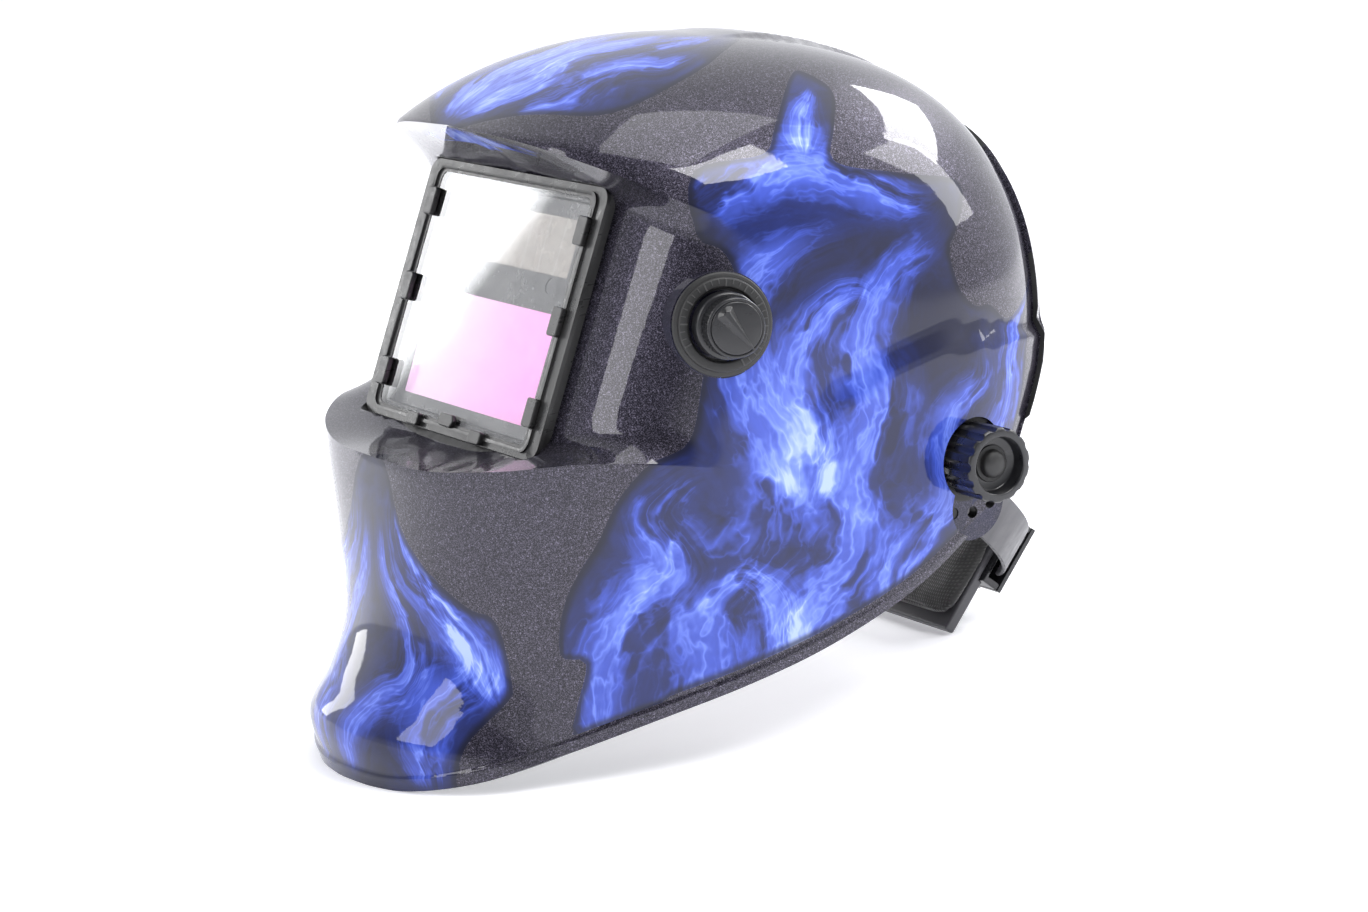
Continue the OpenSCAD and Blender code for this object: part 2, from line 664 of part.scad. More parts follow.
module headband() {
    color("#3b3b41") place_headgear() difference() {
        translate([0, 0, -band_h / 2]) linear_extrude(band_h) {
            band_arc(front_arc_y, true, band_half_w, band_half_w + band_t);
            for (x = [-1, 1]) translate([x > 0 ? band_half_w : -band_half_w - band_t, front_arc_y])
                square([band_t, rear_arc_y - front_arc_y]);
        }
        for (side = [0, 1], y = [-61, -51]) mirror([side, 0, 0]) translate([0, y, 0])
            rod_x(band_half_w - 1, band_half_w + 8, 1.5);
    }
}
module sweatband() {
    color("#222226") place_headgear() translate([0, 0, -14]) linear_extrude(28) intersection() {
        translate([0, front_arc_y]) difference() {
            circle(band_half_w, $fn = 96);
            circle(band_half_w - 6, $fn = 96);
        }
        polygon([[0, front_arc_y], [-110, -95], [-60, -140], [60, -140], [110, -95]]);
    }
}
module crown_half(from, to) {
    intersection() {
        translate([0, crown_y + crown_w / 2, 0]) rotate([90, 0, 0]) linear_extrude(crown_w) union() {
            translate([0, crown_rise - band_half_w]) intersection() {
                difference() {
                    circle(band_half_w + to, $fn = 96);
                    circle(band_half_w + from, $fn = 96);
                }
                translate([-100, 0]) square([200, 100]);
            }
            translate([band_half_w + from, band_h / 2]) square([to - from, crown_rise - band_half_w - band_h / 2]);
        }
        translate([-14, -100, 0]) cube([200, 200, 200]);
    }
}
peg_turn = 5;
module peg_holes(r) {
    for (k = [-1, 1]) translate([0, crown_y, crown_rise - band_half_w]) rotate([0, k * peg_turn, 0])
        cylinder(h = band_half_w + 12, r = r);
}
module crown_strap_left() {
    color("#3b3b41") place_headgear() difference() {
        crown_half(0, 1.6);
        peg_holes(2);
    }
}
module crown_strap_right() {
    color("#3b3b41") place_headgear() on_right() difference() {
        union() {
            crown_half(1.6, 3.2);
            translate([band_half_w, crown_y - crown_w / 2, band_h / 2]) cube([3.2, crown_w, 4]);
        }
        peg_holes(2);
    }
}
module crown_pegs() {
    color("#1c1c20") place_headgear() for (k = [-1, 1])
        translate([0, crown_y, crown_rise - band_half_w]) rotate([0, k * peg_turn, 0]) {
            translate([0, 0, band_half_w - 1.2]) cylinder(h = 6.2, r = 2);
            translate([0, 0, band_half_w + 3.4]) cylinder(h = 1.6, r = 4);
        }
}
module rear_strap() {
    translate([0, 0, housing_z - strap_h / 2]) linear_extrude(strap_h) intersection() {
        band_arc(rear_arc_y, false, band_half_w - 2.2, band_half_w - 0.4);
        translate([housing_w / 2 + 0.5, 0]) square([100, 120]);
    }
}
module strap_left() {
    color("#4a4a52") place_headgear() on_left() rear_strap();
}
module strap_right() {
    color("#4a4a52") place_headgear() on_right() rear_strap();
}
module place_ratchet() {
    place_headgear() translate([0, housing_y, housing_z]) children();
}
module ratchet_housing() {
    color("#17171a") place_ratchet() difference() {
        translate([-housing_w / 2, 0, -housing_h / 2]) cube([housing_w, housing_t - 2, housing_h]);
        translate([-housing_w / 2 - 1, 2, -slot_half_h]) cube([housing_w + 2, housing_t, 2 * slot_half_h]);
    }
}
module ratchet_cover() {
    color("#17171a") place_ratchet() difference() {
        translate([-housing_w / 2, housing_t - 2, -housing_h / 2]) cube([housing_w, 2, housing_h]);
        rod_y(0, housing_t + 2, 4 + running_fit);
    }
}
module ratchet_pinion() {
    color("#d8d8da") place_ratchet() {
        translate([0, 8.6, 0]) rotate([90, 0, 0]) linear_extrude(6.3) polygon([
            for (k = [0:pinion_teeth - 1]) for (p = pinion_tooth)
                let (turn = 360 / pinion_teeth * k + p[0]) p[1] * [sin(turn), cos(turn)]
        ]);
        rod_y(8, housing_t + 4, 3.9);
    }
}
module ratchet_knob() {
    color("#141417") place_ratchet() difference() {
        union() {
            rod_y(housing_t + gap, housing_t + ratchet_knob_t - 1, ratchet_knob_d / 2);
            rod_y(housing_t + ratchet_knob_t - 1, housing_t + ratchet_knob_t, ratchet_knob_d / 2 - 1);
        }
        rod_y(housing_t, housing_t + 4, 4);
        for (k = [0:17]) rotate([0, 20 * k, 0]) translate([ratchet_knob_d / 2 + 0.6, 0, 0])
            rod_y(housing_t - 1, housing_t + 9, 1.6);
    }
}
rack_pitch = 2 * PI * pinion_pitch_r / pinion_teeth;
module rack() {
    translate([0, 8.4, 0]) rotate([90, 0, 0]) linear_extrude(5.6) {
        translate([-16.5, pinion_pitch_r + 1.2]) square([48, 3.6]);
        for (k = [-5:9]) translate([(k + 0.5) * rack_pitch, 0]) polygon([
            [-0.65, pinion_pitch_r + 1.2], [-0.5, pinion_pitch_r], [-0.25, pinion_pitch_r - 0.7],
            [0.25, pinion_pitch_r - 0.7], [0.5, pinion_pitch_r], [0.65, pinion_pitch_r + 1.2]
        ]);
    }
}
module rack_left() {
    color("#4a4a52") place_ratchet() rack();
}
module rack_right() {
    color("#4a4a52") place_ratchet() rotate([0, 180, 0]) rack();
}
module nape_cradle() {
    color("#3b3b41") place_headgear() {
        translate([-cradle_half_w, cradle_y, cradle_low])
            cube([2 * cradle_half_w, housing_y - cradle_y, housing_z + housing_h / 2 - cradle_low]);
        translate([-cradle_half_w, housing_y, cradle_low])
            cube([2 * cradle_half_w, cradle_foot_y - housing_y, housing_z - housing_h / 2 - cradle_low]);
    }
}
module nape_pad() {
    color("#0e0e11") place_headgear() translate([0, cradle_y, housing_z - 12]) rotate([90, 0, 0])
        linear_extrude(7) rounded(66, 50, 10);
}

shell();
lens_bezel();
lens_clips();
cover_lens();
cartridge_front();
cartridge_back();
filter_glass();
solar_cell();
arc_sensors();
circuit_board();
coin_cells();
inner_cover_lens();
cartridge_holder();
holder_screws();
dial_ring();
shade_pot();
pot_nut();
shade_cable();
angle_adjuster_left();
angle_adjuster_right();
shade_knob();
shade_shaft();
sensitivity_dial();
delay_dial();
headband();
sweatband();
crown_strap_left();
crown_strap_right();
crown_pegs();
pivot_arm_left();
pivot_arm_right();
arm_rivets();
pivot_bolt_left();
pivot_bolt_right();
stop_plate_left();
stop_plate_right();
strap_left();
strap_right();
ratchet_housing();
ratchet_cover();
nape_cradle();
nape_pad();
ratchet_knob();
ratchet_pinion();
rack_left();
rack_right();
tension_knob_left();
knob_insert_left();
knob_cap_left();
tension_knob_right();
knob_insert_right();
knob_cap_right();
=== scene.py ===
"""Looks of the welding helmet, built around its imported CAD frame."""
import json
import math

import bmesh
import bpy
import numpy as np
from mathutils import Matrix, Vector


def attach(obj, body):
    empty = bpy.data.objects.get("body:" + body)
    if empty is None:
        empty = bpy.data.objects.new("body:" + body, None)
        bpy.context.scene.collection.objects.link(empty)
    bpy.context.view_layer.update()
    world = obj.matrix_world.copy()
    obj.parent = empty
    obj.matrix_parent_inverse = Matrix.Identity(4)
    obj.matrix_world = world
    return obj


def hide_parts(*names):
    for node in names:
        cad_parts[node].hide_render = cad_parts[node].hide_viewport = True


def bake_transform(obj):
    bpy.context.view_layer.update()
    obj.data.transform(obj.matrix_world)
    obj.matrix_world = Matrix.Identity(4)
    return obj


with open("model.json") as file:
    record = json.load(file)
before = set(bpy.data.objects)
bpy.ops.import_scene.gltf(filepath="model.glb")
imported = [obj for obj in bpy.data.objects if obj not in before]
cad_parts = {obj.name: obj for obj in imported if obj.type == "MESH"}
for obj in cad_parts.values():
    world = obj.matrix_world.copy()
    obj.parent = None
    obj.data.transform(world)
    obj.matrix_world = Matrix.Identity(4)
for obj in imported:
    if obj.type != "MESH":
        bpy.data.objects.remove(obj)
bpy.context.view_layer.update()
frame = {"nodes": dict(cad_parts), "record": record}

RECORD = frame["record"]
JOINTS = {j["name"]: j for j in RECORD["behaviour"]["joints"]}
MM = 0.001


# ---------- Frames, all taken from the record's joints ----------
def turned(axis, degrees):
    return Matrix.Rotation(math.radians(degrees), 4, axis)


def moved(x, y, z):
    return Matrix.Translation((x * MM, y * MM, z * MM))


REST_TILT = 20
LENS_LEAN = 4.7
PIVOT_AT = (0, 155, -19)
PIVOT = Matrix.Translation(JOINTS["visor_pivot"]["pos_m"]) @ turned("X", -REST_TILT)
HELMET = PIVOT @ moved(*[-v for v in PIVOT_AT])
LENS = HELMET @ turned("X", -LENS_LEAN)
DIAL_AT, DIAL_TURN = (109.5, 35, 12), -14
DIAL = HELMET @ moved(*DIAL_AT) @ turned("Z", DIAL_TURN) @ turned("Y", 90)
BACK = Vector(JOINTS["band_length"]["axis"]).normalized()
HEADGEAR = Matrix.Translation(PIVOT.translation) @ Matrix(
    ((1, 0, 0, 0), (0, BACK.y, -BACK.z, 0), (0, BACK.z, BACK.y, 0), (0, 0, 0, 1)))
RATCHET_AT = (0, 94, -3)
RATCHET = HEADGEAR @ moved(*RATCHET_AT)
KNOB_LEFT = PIVOT @ turned("Y", 90)
KNOB_RIGHT = PIVOT @ turned("Y", -90)


# ---------- Materials ----------
class Look:
    """A Principled material and short ways to add nodes to it."""

    def __init__(self, name, **constants):
        self.mat = bpy.data.materials.new(name)
        self.mat.use_nodes = True
        self.tree = self.mat.node_tree
        self.bsdf = self.tree.nodes["Principled BSDF"]
        for key, value in constants.items():
            self.bsdf.inputs[key.replace("_", " ")].default_value = value
        self.place = self.add("TexCoord").outputs["Object"]

    def add(self, kind, inputs=(), **props):
        n = self.tree.nodes.new("ShaderNode" + kind)
        for key, value in props.items():
            setattr(n, key, value)
        for key, value in dict(inputs).items():
            self.feed(n.inputs[key], value)
        return n

    def feed(self, socket, value):
        if isinstance(value, bpy.types.NodeSocket):
            self.tree.links.new(value, socket)
        else:
            socket.default_value = value

    def to(self, **inputs):
        for key, value in inputs.items():
            self.feed(self.bsdf.inputs[key.replace("_", " ")], value)

    def math(self, op, a, b=0.0, clamp=False):
        return self.add("Math", {0: a, 1: b}, operation=op, use_clamp=clamp).outputs[0]

    def vec(self, op, a, b=(0, 0, 0)):
        return self.add("VectorMath", {0: a, 1: b}, operation=op).outputs[0]

    def scaled(self, vector, factor):
        return self.add("VectorMath", {0: vector, "Scale": factor}, operation="SCALE").outputs[0]

    def noise(self, scale, detail=2.0, rough=0.5, at=None, color=False):
        n = self.add("TexNoise", {"Vector": self.place if at is None else at, "Scale": scale,
                                  "Detail": detail, "Roughness": rough})
        return n.outputs["Color" if color else "Fac"]

    def cells(self, scale, feature="F1", out="Color"):
        n = self.add("TexVoronoi", {"Vector": self.place, "Scale": scale}, feature=feature)
        return n.outputs[out]

    def step(self, value, low, high, to_low=0.0, to_high=1.0):
        return self.add("MapRange", {0: value, 1: low, 2: high, 3: to_low, 4: to_high},
                        interpolation_type="SMOOTHSTEP").outputs[0]

    def ramp(self, value, stops):
        n = self.add("ValToRGB", {0: value})
        e = n.color_ramp.elements
        while len(e) < len(stops):
            e.new(0.5)
        for element, (at, color) in zip(e, stops):
            element.position = at
            element.color = (*color, 1)
        return n.outputs[0]

    def mix(self, factor, a, b):
        n = self.add("Mix", {0: factor}, data_type="RGBA")
        self.feed(n.inputs[6], a)
        self.feed(n.inputs[7], b)
        return n.outputs[2]

    def bump(self, height, strength, distance):
        return self.add("Bump", {"Height": height, "Strength": strength, "Distance": distance}).outputs[0]

    def attribute(self, name, out="Vector"):
        return self.add("Attribute", attribute_name=name).outputs[out]


def grey(v, tint=(1, 1, 1)):
    return tuple(v * t for t in tint) + (1,)


def plastic(name, base, high, rough, grain=900, grain_depth=0.00004, coat=0.0, tint=(1, 1, 1)):
    """Moulded plastic: fine pebble grain, faint handling marks, and tone that drifts over the part."""
    look = Look(name, Coat_Weight=coat, Coat_Roughness=0.08, IOR=1.5)
    drift = look.noise(28, 4, 0.6)
    marks = look.noise(260, 3, 0.7, at=look.vec("MULTIPLY", look.place, (1, 0.12, 1)))
    tone = look.math("MULTIPLY", drift, look.step(marks, 0.35, 0.7, 0.8, 1.1))
    wear = look.math("ADD", look.math("MULTIPLY", marks, 0.6), look.math("MULTIPLY", drift, 0.4))
    look.to(Base_Color=look.mix(tone, grey(base, tint), grey(high, tint)),
            Roughness=look.step(wear, 0.3, 0.7, rough - 0.08, rough + 0.12),
            Normal=look.bump(look.noise(grain, 2, 0.6), 0.35, grain_depth))
    return look.mat


STRAND_ALONG, STRAND_ACROSS = 0.017, 1.05


def paint():
    """Clear-coated charcoal flake with navy panels of pale blue smoke."""
    look = Look("helmet_paint", Coat_Weight=1.0, Coat_Roughness=0.03, Coat_IOR=1.42, IOR=1.45,
                Specular_IOR_Level=0.2)
    panel = look.attribute("panel", "Fac")
    inside = look.step(panel, -0.12, 0.12)
    outline = look.math("MULTIPLY", inside, look.step(panel, 0.6, 3.2, 1.0, 0.0))

    # Charcoal body: two sizes of flake over a slow drift
    fine = look.cells(4200)
    coarse = look.cells(2400)
    glint = look.add("SeparateColor", {0: fine}).outputs[0]
    glint2 = look.add("SeparateColor", {0: coarse}).outputs[1]
    spark = look.math("ADD", look.step(glint, 0.5, 1.0, 0.0, 0.6), look.step(glint2, 0.9, 1.0, 0.0, 0.7))
    body = look.mix(spark, (0.013, 0.012, 0.019, 1), (0.17, 0.155, 0.215, 1))

    # Smoke: strands that flow along the drawn plumes, over a faint mist
    warp = look.vec("SUBTRACT", look.noise(24, 3, 0.6, color=True), (0.5, 0.5, 0.5))
    curl = look.vec("SUBTRACT", look.noise(85, 2, 0.5, color=True), (0.5, 0.5, 0.5))
    light = 0.0
    for k in range(PLUME_SETS):
        flow = look.attribute(f"plume{k}")
        part = look.add("SeparateXYZ", {0: flow})
        along, across, mask = part.outputs
        lane = look.add("CombineXYZ", {0: look.math("MULTIPLY", along, STRAND_ALONG),
                                       1: look.math("MULTIPLY", across, STRAND_ACROSS),
                                       2: 3.7 * k + 1.3}).outputs[0]
        lane = look.vec("ADD", lane, look.vec("ADD", look.scaled(warp, 1.15), look.scaled(curl, 0.22)))
        big = look.noise(1.0, 2, 0.5, at=lane)
        small = look.noise(2.6, 2, 0.55, at=lane)
        ridge = look.math("SUBTRACT", 1.0, look.math("ABSOLUTE", look.math(
            "SUBTRACT", look.math("MULTIPLY", big, 7.0), 3.5)), True)
        thin = look.math("SUBTRACT", 1.0, look.math("ABSOLUTE", look.math(
            "SUBTRACT", look.math("MULTIPLY", small, 9.0), 4.5)), True)
        sheet = look.step(big, 0.42, 0.68)
        glow = look.math("ADD", look.math("MULTIPLY", look.math("POWER", ridge, 1.5), 0.36),
                         look.math("ADD", look.math("MULTIPLY", look.math("POWER", thin, 1.6), 0.20),
                                   look.math("MULTIPLY", sheet, 0.44)))
        light = look.math("ADD", light, look.math("MULTIPLY", mask, look.math("ADD", glow, 0.06)))
    mist = look.math("MULTIPLY", look.step(look.noise(34, 4, 0.6, at=look.vec(
        "ADD", look.place, look.scaled(warp, 0.03))), 0.45, 0.75), 0.16)
    light = look.math("ADD", light, mist)
    smoke = look.ramp(light, [(0.0, (0.0045, 0.006, 0.028)), (0.25, (0.010, 0.020, 0.13)),
                              (0.5, (0.045, 0.085, 0.50)), (0.75, (0.16, 0.25, 0.84)),
                              (1.0, (0.42, 0.54, 1.0))])
    smoke = look.mix(look.math("MULTIPLY", outline, 0.85), smoke, (0.002, 0.003, 0.014, 1))
    ripple = look.noise(330, 2, 0.5)
    look.to(Base_Color=look.mix(inside, body, smoke),
            Metallic=look.math("MULTIPLY", look.math("SUBTRACT", 1.0, inside), 0.72),
            Roughness=look.mix(inside, (0.42, 0.42, 0.42, 1), (0.5, 0.5, 0.5, 1)),
            Normal=look.bump(spark, 0.12, 0.00008),
            Coat_Normal=look.bump(ripple, 0.30, 0.00006))
    return look.mat


def clear_sheet():
    """Thin polycarbonate: shows what is behind it and reflects the room."""
    look = Look("clear_sheet", Metallic=1.0, Roughness=0.03)
    edge = look.math("POWER", look.add("LayerWeight", {"Blend": 0.5}).outputs["Facing"], 4.0)
    smear = look.noise(60, 3, 0.6)
    look.to(Base_Color=look.mix(smear, (0.95, 0.97, 1, 1), (1, 1, 1, 1)),
            Alpha=look.math("ADD", edge, look.step(smear, 0.4, 0.8, 0.05, 0.08), True),
            Roughness=look.step(smear, 0.3, 0.8, 0.01, 0.05))
    look.mat.surface_render_method = "BLENDED"
    return look.mat


def filter_look():
    """Interference filter: pink-magenta, paler towards one side, with a faint painted glow."""
    look = Look("interference_filter", IOR=1.6, Coat_Weight=0.6, Coat_Roughness=0.02)
    x = look.add("SeparateXYZ", {0: look.place}).outputs[0]
    drift = look.math("ADD", look.step(x, -0.05, 0.06), look.math("MULTIPLY", look.noise(22, 2), 0.2))
    look.to(Base_Color=look.ramp(drift, [(0, (0.98, 0.66, 0.93)), (0.6, (0.95, 0.38, 0.80)),
                                         (1, (0.93, 0.30, 0.72))]),
            Roughness=look.step(look.noise(150, 3), 0.3, 0.7, 0.10, 0.18))
    # Painted glow: the filter gives off a faint pink light of its own, though it is no lamp.
    look.to(Emission_Color=look.ramp(drift, [(0, (1.0, 0.62, 0.95)), (1, (1.0, 0.42, 0.86))]))
    look.bsdf.inputs["Emission Strength"].default_value = 0.25
    return look.mat


def solar_look():
    """Amorphous solar cell: upright strips behind glass, brown-green sheen."""
    look = Look("solar_cell", IOR=1.5, Coat_Weight=0.8, Coat_Roughness=0.02, Metallic=0.2)
    x = look.add("SeparateXYZ", {0: look.place}).outputs[0]
    strip = look.math("PINGPONG", look.math("MULTIPLY", x, 1.0), 0.0062)
    line = look.step(strip, 0.0, 0.0005, 1.0, 0.0)
    tone = look.mix(look.noise(60, 3, 0.6), (0.20, 0.19, 0.155, 1), (0.32, 0.27, 0.23, 1))
    look.to(Base_Color=look.mix(line, tone, (0.42, 0.40, 0.37, 1)),
            Roughness=look.step(look.noise(200, 2), 0.3, 0.7, 0.18, 0.3))
    return look.mat


def metal(name, tint, rough):
    look = Look(name, Metallic=1.0)
    brush = look.noise(700, 3, 0.6, at=look.vec("MULTIPLY", look.place, (1, 1, 0.05)))
    look.to(Base_Color=look.mix(brush, grey(0.55, tint), grey(0.8, tint)),
            Roughness=look.step(brush, 0.3, 0.7, rough, rough + 0.15),
            Normal=look.bump(brush, 0.2, 0.00003))
    return look.mat


def board_look():
    look = Look("circuit_board", Coat_Weight=0.4)
    trace = look.cells(420, feature="DISTANCE_TO_EDGE", out="Distance")
    look.to(Base_Color=look.mix(look.step(trace, 0.02, 0.08), (0.05, 0.22, 0.10, 1), (0.012, 0.09, 0.04, 1)),
            Roughness=look.step(look.noise(300), 0.3, 0.7, 0.3, 0.5))
    return look.mat


def fabric(name, dark, light):
    """Brushed knit over foam: crossing yarns, fuzz, slow tone drift and painted shade between the yarns."""
    look = Look(name, Sheen_Weight=0.35, Sheen_Roughness=0.5)
    warp = look.add("TexWave", {"Vector": look.place, "Scale": 260.0, "Distortion": 1.2}, bands_direction="X")
    weft = look.add("TexWave", {"Vector": look.place, "Scale": 260.0, "Distortion": 1.2}, bands_direction="Z")
    yarn = look.math("MULTIPLY", warp.outputs["Fac"], weft.outputs["Fac"])
    fuzz = look.noise(1500, 3, 0.7)
    height = look.math("ADD", yarn, look.math("MULTIPLY", fuzz, 0.6))
    # Colour follows the yarn height: painted shade in the hollows between the yarns, times a slow tone drift.
    look.to(Base_Color=look.mix(look.math("MULTIPLY", height, look.noise(30, 3)), grey(dark), grey(light)),
            Roughness=look.step(fuzz, 0.2, 0.8, 0.85, 0.98),
            Normal=look.bump(height, 0.7, 0.0003))
    return look.mat


def floor_look():
    look = Look("studio_floor")
    look.to(Base_Color=look.mix(look.noise(3, 3), (0.90, 0.90, 0.93, 1), (0.93, 0.93, 0.95, 1)),
            Roughness=look.step(look.noise(40, 3), 0.3, 0.7, 0.55, 0.65))
    look.bsdf.inputs["Emission Color"].default_value = (0.95, 0.96, 1.0, 1)
    look.bsdf.inputs["Emission Strength"].default_value = 0.34
    return look.mat


PLUME_SETS = 4
PAINT = paint()
INNER = plastic("shell_inside", 0.010, 0.022, 0.5, 500, 0.0001)
BEZEL = plastic("bezel_satin", 0.010, 0.024, 0.30, 1200)
BLACK = plastic("knob_black", 0.007, 0.016, 0.30, 1500, coat=0.25, tint=(0.95, 0.97, 1.15))
SATIN = plastic("ring_satin", 0.014, 0.030, 0.45, 1300)
GREY = plastic("headgear_grey", 0.050, 0.085, 0.36, 600, 0.00005, tint=(0.98, 0.97, 1.08))
NYLON = plastic("gear_nylon", 0.55, 0.7, 0.4, 800)
TICK = plastic("tick_paint", 0.05, 0.09, 0.5, 1500)
CLEAR = clear_sheet()
FILTER = filter_look()
SOLAR = solar_look()
STEEL = metal("zinc_steel", (1, 1, 1.02), 0.22)
BRASS = metal("brass", (1, 0.82, 0.5), 0.25)
BOARD = board_look()
FABRIC = fabric("knit_pad", 0.010, 0.05)

for mat, names in {
    BEZEL: "lens_bezel lens_clips cartridge_front cartridge_back cartridge_holder",
    BLACK: "shade_knob tension_knob_left tension_knob_right knob_cap_left knob_cap_right ratchet_knob "
           "ratchet_housing ratchet_cover crown_pegs arc_sensors sensitivity_dial delay_dial shade_cable",
    SATIN: "dial_ring angle_adjuster_left angle_adjuster_right stop_plate_left stop_plate_right "
           "pivot_bolt_left pivot_bolt_right",
    GREY: "headband crown_strap_left crown_strap_right pivot_arm_left pivot_arm_right strap_left strap_right "
          "nape_cradle rack_left rack_right",
    NYLON: "ratchet_pinion",
    CLEAR: "cover_lens inner_cover_lens",
    FILTER: "filter_glass",
    SOLAR: "solar_cell",
    STEEL: "coin_cells holder_screws shade_pot pot_nut shade_shaft arm_rivets",
    BRASS: "knob_insert_left knob_insert_right",
    BOARD: "circuit_board",
    FABRIC: "sweatband nape_pad",
    INNER: "shell",
}.items():
    for name in names.split():
        node = frame["nodes"][name]
        node.data.materials.clear()
        node.data.materials.append(mat)


# ---------- Mesh helpers ----------
def shown(name, verts, faces, place, mats, body, slot, *nodes, sharp=35, smooth=True):
    """A new piece from points in millimetres of its own frame."""
    mesh = bpy.data.meshes.new(name)
    scale = place @ Matrix.Scale(MM, 4)
    mesh.from_pydata([scale @ Vector(v) for v in verts], [], faces)
    face_outwards(mesh)
    obj = bpy.data.objects.new(name, mesh)
    bpy.context.scene.collection.objects.link(obj)
    for m in mats:
        mesh.materials.append(m)
    finish_shading(mesh, sharp, smooth)
    enlist(obj, body, slot, *nodes)
    return obj


def face_outwards(mesh):
    bm = bmesh.new()
    bm.from_mesh(mesh)
    bmesh.ops.recalc_face_normals(bm, faces=bm.faces)
    bm.to_mesh(mesh)
    bm.free()


def finish_shading(mesh, sharp=35, smooth=True):
    mesh.polygons.foreach_set("use_smooth", [smooth] * len(mesh.polygons))
    if smooth:
        mesh.set_sharp_from_angle(angle=math.radians(sharp))


def enlist(obj, body, slot, *nodes):
    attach(obj, body)
    if nodes:
        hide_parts(*nodes)


def with_bevel(obj, width, segments=2, angle=35):
    b = obj.modifiers.new("edges", "BEVEL")
    b.width = width * MM
    b.segments = segments
    b.limit_method = "ANGLE"
    b.angle_limit = math.radians(angle)
    b.harden_normals = True
    b.use_clamp_overlap = True
    return obj


def softened(node, body, slot, width, mat, angle=35):
    """A copy of a CAD solid with its edges rounded over, standing for the solid."""
    mesh = frame["nodes"][node].data.copy()
    bm = bmesh.new()
    bm.from_mesh(mesh)
    bmesh.ops.remove_doubles(bm, verts=bm.verts, dist=0.00001)
    bmesh.ops.dissolve_limit(bm, angle_limit=math.radians(1), verts=bm.verts, edges=bm.edges)
    bm.to_mesh(mesh)
    bm.free()
    mesh.materials.clear()
    mesh.materials.append(mat)
    obj = bpy.data.objects.new(node + "_shown", mesh)
    bpy.context.scene.collection.objects.link(obj)
    mesh.polygons.foreach_set("use_smooth", [True] * len(mesh.polygons))
    mesh.set_sharp_from_angle(angle=math.radians(angle))
    with_bevel(obj, width, 2, angle)
    enlist(obj, body, slot, node)
    return obj


def lathe(profile, steps, reshape=None):
    """Points and faces of a profile of (radius, height) turned about Z. A radius of 0 closes an end."""
    verts, faces, rings = [], [], []
    for r, z in profile:
        if r <= 0:
            rings.append([len(verts)] * steps)
            verts.append((0, 0, z))
            continue
        ring = []
        for k in range(steps):
            a = 2 * math.pi * k / steps
            q = reshape(a, r, z) if reshape else r
            ring.append(len(verts))
            verts.append((q * math.cos(a), q * math.sin(a), z))
        rings.append(ring)
    for a, b in zip(rings, rings[1:]):
        for k in range(steps):
            n = (k + 1) % steps
            quad = [a[k], a[n], b[n], b[k]]
            faces.append([v for i, v in enumerate(quad) if v not in quad[:i]])
    return verts, faces


def arc_profile(cx, cz, r, start, end, count=5):
    return [(cx + r * math.cos(math.radians(start + (end - start) * k / count)),
             cz + r * math.sin(math.radians(start + (end - start) * k / count))) for k in range(count + 1)]


# ---------- Helmet shell ----------
AXIS_Y, CROWN, HALF_W = 110.0, 123.5, 115.0
BROW_REACH, REAR_REACH, WALL, LEDGE = 142.0, 111.5, 2.6, 13.0
FACE_W, FACE_REACH, FACE_SLOPE, FACE_POWER = 114.0, 110.0, 0.082, 3.9
LOW_WIDTH = [(-185, 90), (-166, 96), (-150, 100), (-128, 106), (-100, 111), (-64, 114.5), (-30, 115.5),
             (0, 115)]
LOW_FRONT = [(-185, 129), (-166, 139), (-150, 133), (-128, 128.5), (-100, 135.5), (-64, 144),
             (-30, 146), (0, 146)]
LOW_POWER = [(-185, 2.1), (-150, 2.1), (-100, 2.3), (-64, 2.7), (-30, 3.3), (0, 3.5)]
BROW_LINE = [(0, 63), (20, 61.3), (35, 57), (48, 51), (65, 45)]
SHELF_LINE = [(0, -64), (15, -63), (29, -56), (42, -46), (56, -40), (75, -38)]
SIDE_LINE = [(70, -14), (78, -4), (96, 21), (112, 30), (127, 35), (150, 38)]
RIM_TURN = [(0, 0), (90, 90), (105, 104), (122, 119), (130, 124.5), (140, 128), (150, 130), (160, 138),
            (170, 157),
            (180, 180)]
RIM_HEIGHT = [(0, -184.8), (15, -182.2), (30, -171), (45, -152), (60, -133), (75, -115), (90, -96),
              (105, -73),
              (115, -52), (122, -35), (130, -12), (140, 30), (150, 70), (160, 97), (170, 109), (180, 112)]
EVEN_SPLIT = [0, 0.196, 0.238, 0.565, 0.608, 1]
COLUMNS = 300


def curve(keys, x):
    """Smooth curve through keys, the same as the CAD's."""
    px, py = np.array(keys, float).T
    x = np.clip(x, px[0], px[-1])
    i = np.clip(np.searchsorted(px, x, side="right") - 1, 0, len(px) - 2)
    n = len(px) - 1
    ends = np.arange(n + 1)
    a, b = np.maximum(ends - 1, 0), np.minimum(ends + 1, n)
    slope = (py[b] - py[a]) / (px[b] - px[a])
    h = px[i + 1] - px[i]
    t = (x - px[i]) / h
    return ((2 * t**3 - 3 * t**2 + 1) * py[i] + (t**3 - 2 * t**2 + t) * h * slope[i]
            + (3 * t**2 - 2 * t**3) * py[i + 1] + (t**3 - t**2) * h * slope[i + 1])


def bound(t):
    return np.clip(t, 0, 1)


def ease(t):
    c = bound(t)
    return c * c * (3 - 2 * c)


def drop(t):
    return 1 - (1 - bound(t)) ** 2


def oval(turn, half_w, reach, power):
    s, c = np.abs(np.sin(turn)), np.abs(np.cos(turn))
    return ((s / half_w) ** power + (c / reach) ** power) ** (-1 / power)


def dome(z, power):
    return (1 - np.minimum(np.maximum(z, 0) / CROWN, 0.99999) ** power) ** (1 / power)


